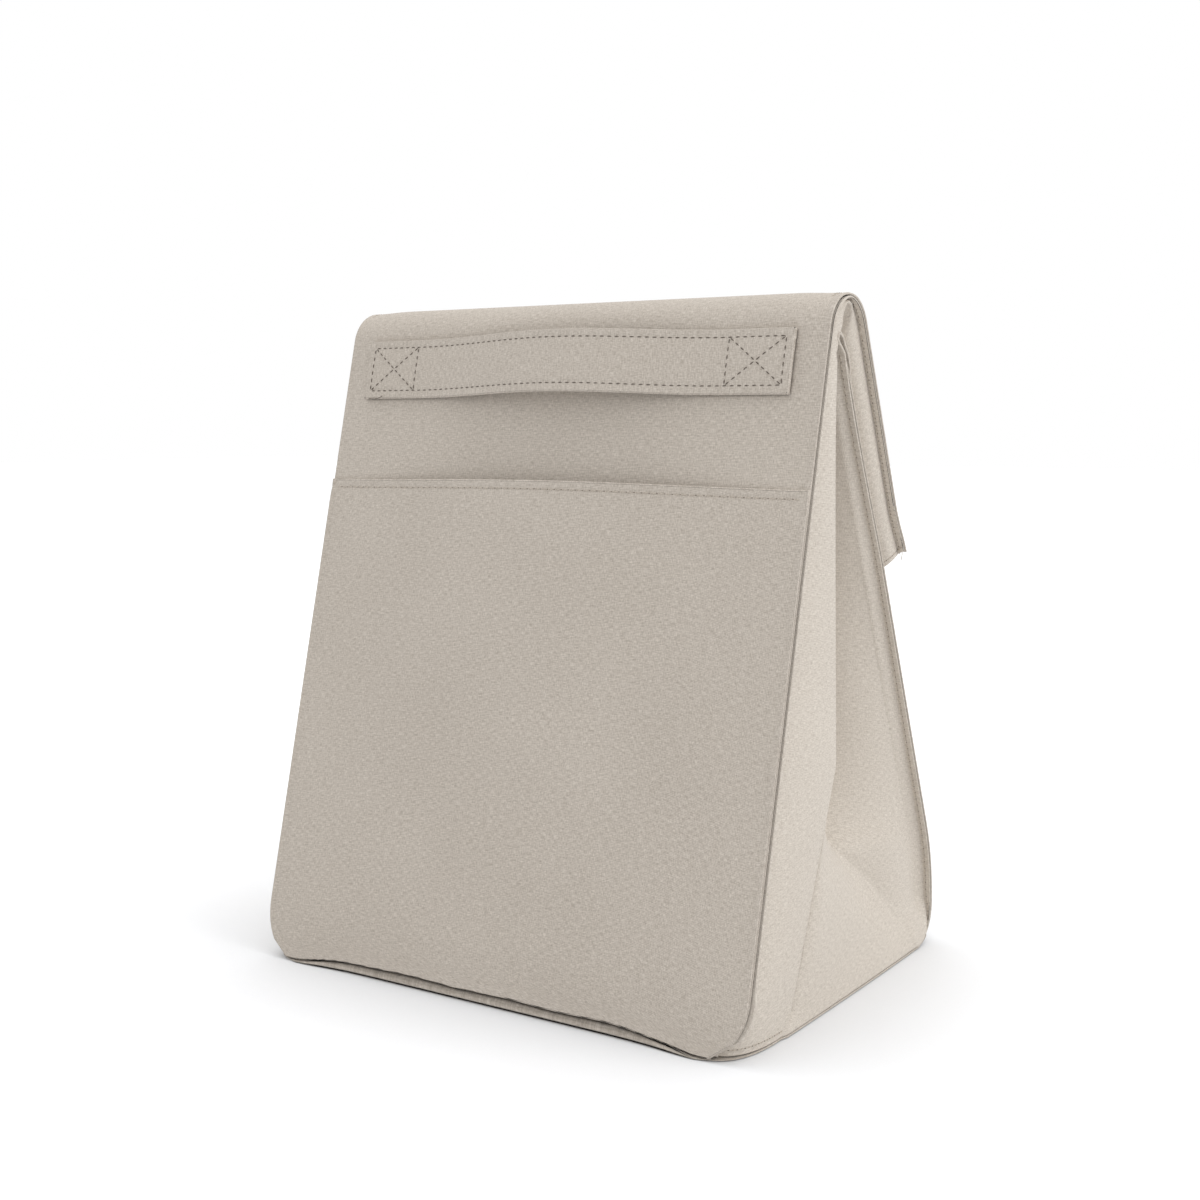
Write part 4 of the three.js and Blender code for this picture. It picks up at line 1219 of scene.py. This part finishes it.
# The same rows as they come through on the gusset's side of each lip
gusset_face = gusset_grid + gusset_out * gusset_offset[:, None]
lip_column = 4
back_lip_column = -5
foot_seam = 4.5
hem_seam = 2.3
foot_row = int(np.argmin(np.abs(np.array(gusset_rows) - foot_seam)))
along_foot = slice(lip_columns - 2, crease_column - 2)
gusset_seams = on_both_sides(gusset_face, gusset_out, np.s_[9:, lip_column], np.s_[4:, back_lip_column])
gusset_seams += on_both_sides(gusset_face, gusset_out, (foot_row, along_foot))
corner = gusset_face[foot_row, lip_columns] + (0.4, 0, 0)
loop = curl(corner + (0, -2, -1), corner + (3.5, -2.5, 5), corner + (1, 1.5, 1.5))
sew("gusset_stitches", gusset_seams, "root", tails=[(loop, (1, 0, 0))])
fold_face = outer_fold_grid + outer_fold_out * (gusset_thickness / 2 + outer_swell)[..., None]
lip_bodies = (("front", ("root", "ridge_front")), ("middle", ("ridge_front", "ridge_back")),
              ("rear", ("ridge_back", "flap_outer")))
for k, (name, bodies) in enumerate(lip_bodies):
    seams = on_both_sides(fold_face, outer_fold_out, np.s_[outer_cuts[k]:outer_cuts[k + 1] + 1, lip_column])
    sew("ridge_lip_stitches_" + name, seams, bodies, crease_points[k], crease_points[k + 1])
seams = on_both_sides(fold_face, outer_fold_out, np.s_[outer_cuts[3]:outer_cuts[4] + 1, lip_column])
sew("flap_lip_stitches", seams, "flap_outer")
for side_name, flip, _ in hands:
    for name, sheet, _, bodies, bend, *_ in fold_parts:
        if not name.startswith("flap"):
            continue
        grid, out, _, swell = fold_sheets[sheet]
        fall = np.linalg.norm(grid[:, valley_column // 2] - grid[-1, valley_column // 2], axis=1)
        row = int(np.argmin(np.abs(fall - hem_seam)))
        face = grid[row] + out[row] * (gusset_thickness / 2 + swell[row])[:, None]
        ends = [tuple(np.array(p) * flip) for p in bend]
        sew(name.format(side_name) + "_stitches", [(face * flip, out[row] * flip)], bodies, *ends)


def strap_seam(a, b, steps=24):
    """A straight seam between two places on the strap, given along it and across it"""
    places = [(a[0] + (b[0] - a[0]) * k / steps, a[1] + (b[1] - a[1]) * k / steps) for k in range(steps + 1)]
    line = [on_strap(x, up) for x, up in places]
    return line, [(0, *front_out)] * len(line)


low, high = strap_margin, strap_width - strap_margin
outer_end = strap_half - strap_margin
strap_seams = [strap_seam((-outer_end, up), (outer_end, up), 160) for up in (low, high)]
for s in (-1, 1):
    a, b = s * outer_end, s * strap_span
    strap_seams += [strap_seam((a, low), (a, high)), strap_seam((b, low), (b, high)),
                    strap_seam((a, low), (b, high)), strap_seam((a, high), (b, low))]
loose_end = np.array(on_strap(-outer_end, 0)) + np.array([0, *front_out]) * 0.4
tail = curl(loose_end, loose_end + (5, -0.6, -1), loose_end + (8.5, -0.4, 1))
sew("strap_stitches", strap_seams, "root", pitch=3.4, length=2.1, top=strap_thread,
    tails=[(tail, (0, -1, 0))], holes=False)

# Floor, light and camera
# A white sweep under soft studio light, brighter from the right and behind, and the photograph's viewpoint.
floor_mesh = bpy.data.meshes.new("floor")
floor_size = 8.0
floor_mesh.from_pydata([(-floor_size, -floor_size, 0), (floor_size, -floor_size, 0),
                        (floor_size, floor_size, 0), (-floor_size, floor_size, 0)], [], [(0, 1, 2, 3)])
floor = bpy.data.objects.new("floor", floor_mesh)
bpy.context.scene.collection.objects.link(floor)


def seen_directly(tree):
    """One for what the camera or a reflection sees, and zero for the light that reaches the bag"""
    seen = node(tree, "ShaderNodeLightPath")
    return node(tree, "ShaderNodeMath", {0: seen.outputs["Is Camera Ray"], 1: seen.outputs["Is Glossy Ray"]},
                operation="MAXIMUM").outputs[0]


white_sweep, tree, shader = new_material("white_paper_sweep")
shader.inputs["Base Color"].default_value = srgb("#e2e3e5")
shader.inputs["Roughness"].default_value = 0.9
direct = seen_directly(tree)
spot = node(tree, "ShaderNodeTexCoord").outputs["Object"]
away = node(tree, "ShaderNodeVectorMath", {0: spot}, operation="LENGTH")
haze = node(tree, "ShaderNodeMapRange", {"Value": away.outputs["Value"], "From Min": 0.15, "From Max": 0.7,
                                         "To Min": 0.28, "To Max": 0.42}, interpolation_type="SMOOTHSTEP")
# Painted shadow: the glow the camera sees is dimmed by ambient occlusion, taken about a normal tilted towards the
# back, so that a soft shadow lies round the bag's foot, deepest in front
shade = node(tree, "ShaderNodeAmbientOcclusion", {"Distance": 0.1, "Normal": (-0.1, 0.5, 0.85)}, samples=8)
shade_power = node(tree, "ShaderNodeMath", {0: shade.outputs["AO"], 1: 1.8}, operation="POWER")
painted_light_level = node(tree, "ShaderNodeMath", {0: haze.outputs[0], 1: shade_power.outputs[0]}, operation="MULTIPLY")
glow = node(tree, "ShaderNodeEmission", {"Color": (1, 1, 1, 1), "Strength": painted_light_level.outputs[0]})
nothing = node(tree, "ShaderNodeEmission", {"Color": (0, 0, 0, 1), "Strength": 0.0})
chosen = node(tree, "ShaderNodeMixShader", {0: direct, 1: nothing.outputs[0], 2: glow.outputs[0]})
summed = node(tree, "ShaderNodeAddShader", {0: shader.outputs[0], 1: chosen.outputs[0]})
tree.links.new(summed.outputs[0], tree.nodes["Material Output"].inputs["Surface"])
floor_mesh.materials.append(white_sweep)

world = bpy.data.worlds.new("studio")
bpy.context.scene.world = world
world.use_nodes = True
tree = world.node_tree
level = node(tree, "ShaderNodeMapRange", {"Value": seen_directly(tree), "To Min": 0.85, "To Max": 1.0})
tree.links.new(level.outputs[0], tree.nodes["Background"].inputs["Strength"])
tree.nodes["Background"].inputs["Color"].default_value = (1, 1, 1, 1)


def softbox(name, place, aim, size, power):
    lamp = bpy.data.lights.new(name, "AREA")
    lamp.shape = "SQUARE"
    lamp.size = size
    lamp.energy = power
    box = bpy.data.objects.new(name, lamp)
    box.location = place
    spot = np.array(aim) - np.array(place)
    flat = math.hypot(spot[0], spot[1])
    box.rotation_euler = (math.atan2(flat, -spot[2]), 0, math.atan2(spot[1], spot[0]) - math.pi / 2)
    bpy.context.scene.collection.objects.link(box)


softbox("softbox_right", (3.0, 0.6, 2.3), (0, 0, 0.15), 2.4, 42)
softbox("softbox_top", (-0.6, 0.4, 3.5), (0, 0, 0.1), 2.4, 22)

sensor_width = 36
focal_pixels = 1620.7
frame_pixels = 1200
camera = bpy.data.cameras.new("camera")
camera.sensor_width = sensor_width
camera.lens = sensor_width * focal_pixels / frame_pixels
viewpoint = bpy.data.objects.new("camera", camera)
viewpoint.location = (0.40054, -0.61828, 0.24317)
viewpoint.rotation_euler = (math.radians(90 - 6.23), 0, math.radians(33.01))
bpy.context.scene.collection.objects.link(viewpoint)
bpy.context.scene.camera = viewpoint
bpy.context.scene.view_settings.view_transform = "Standard"
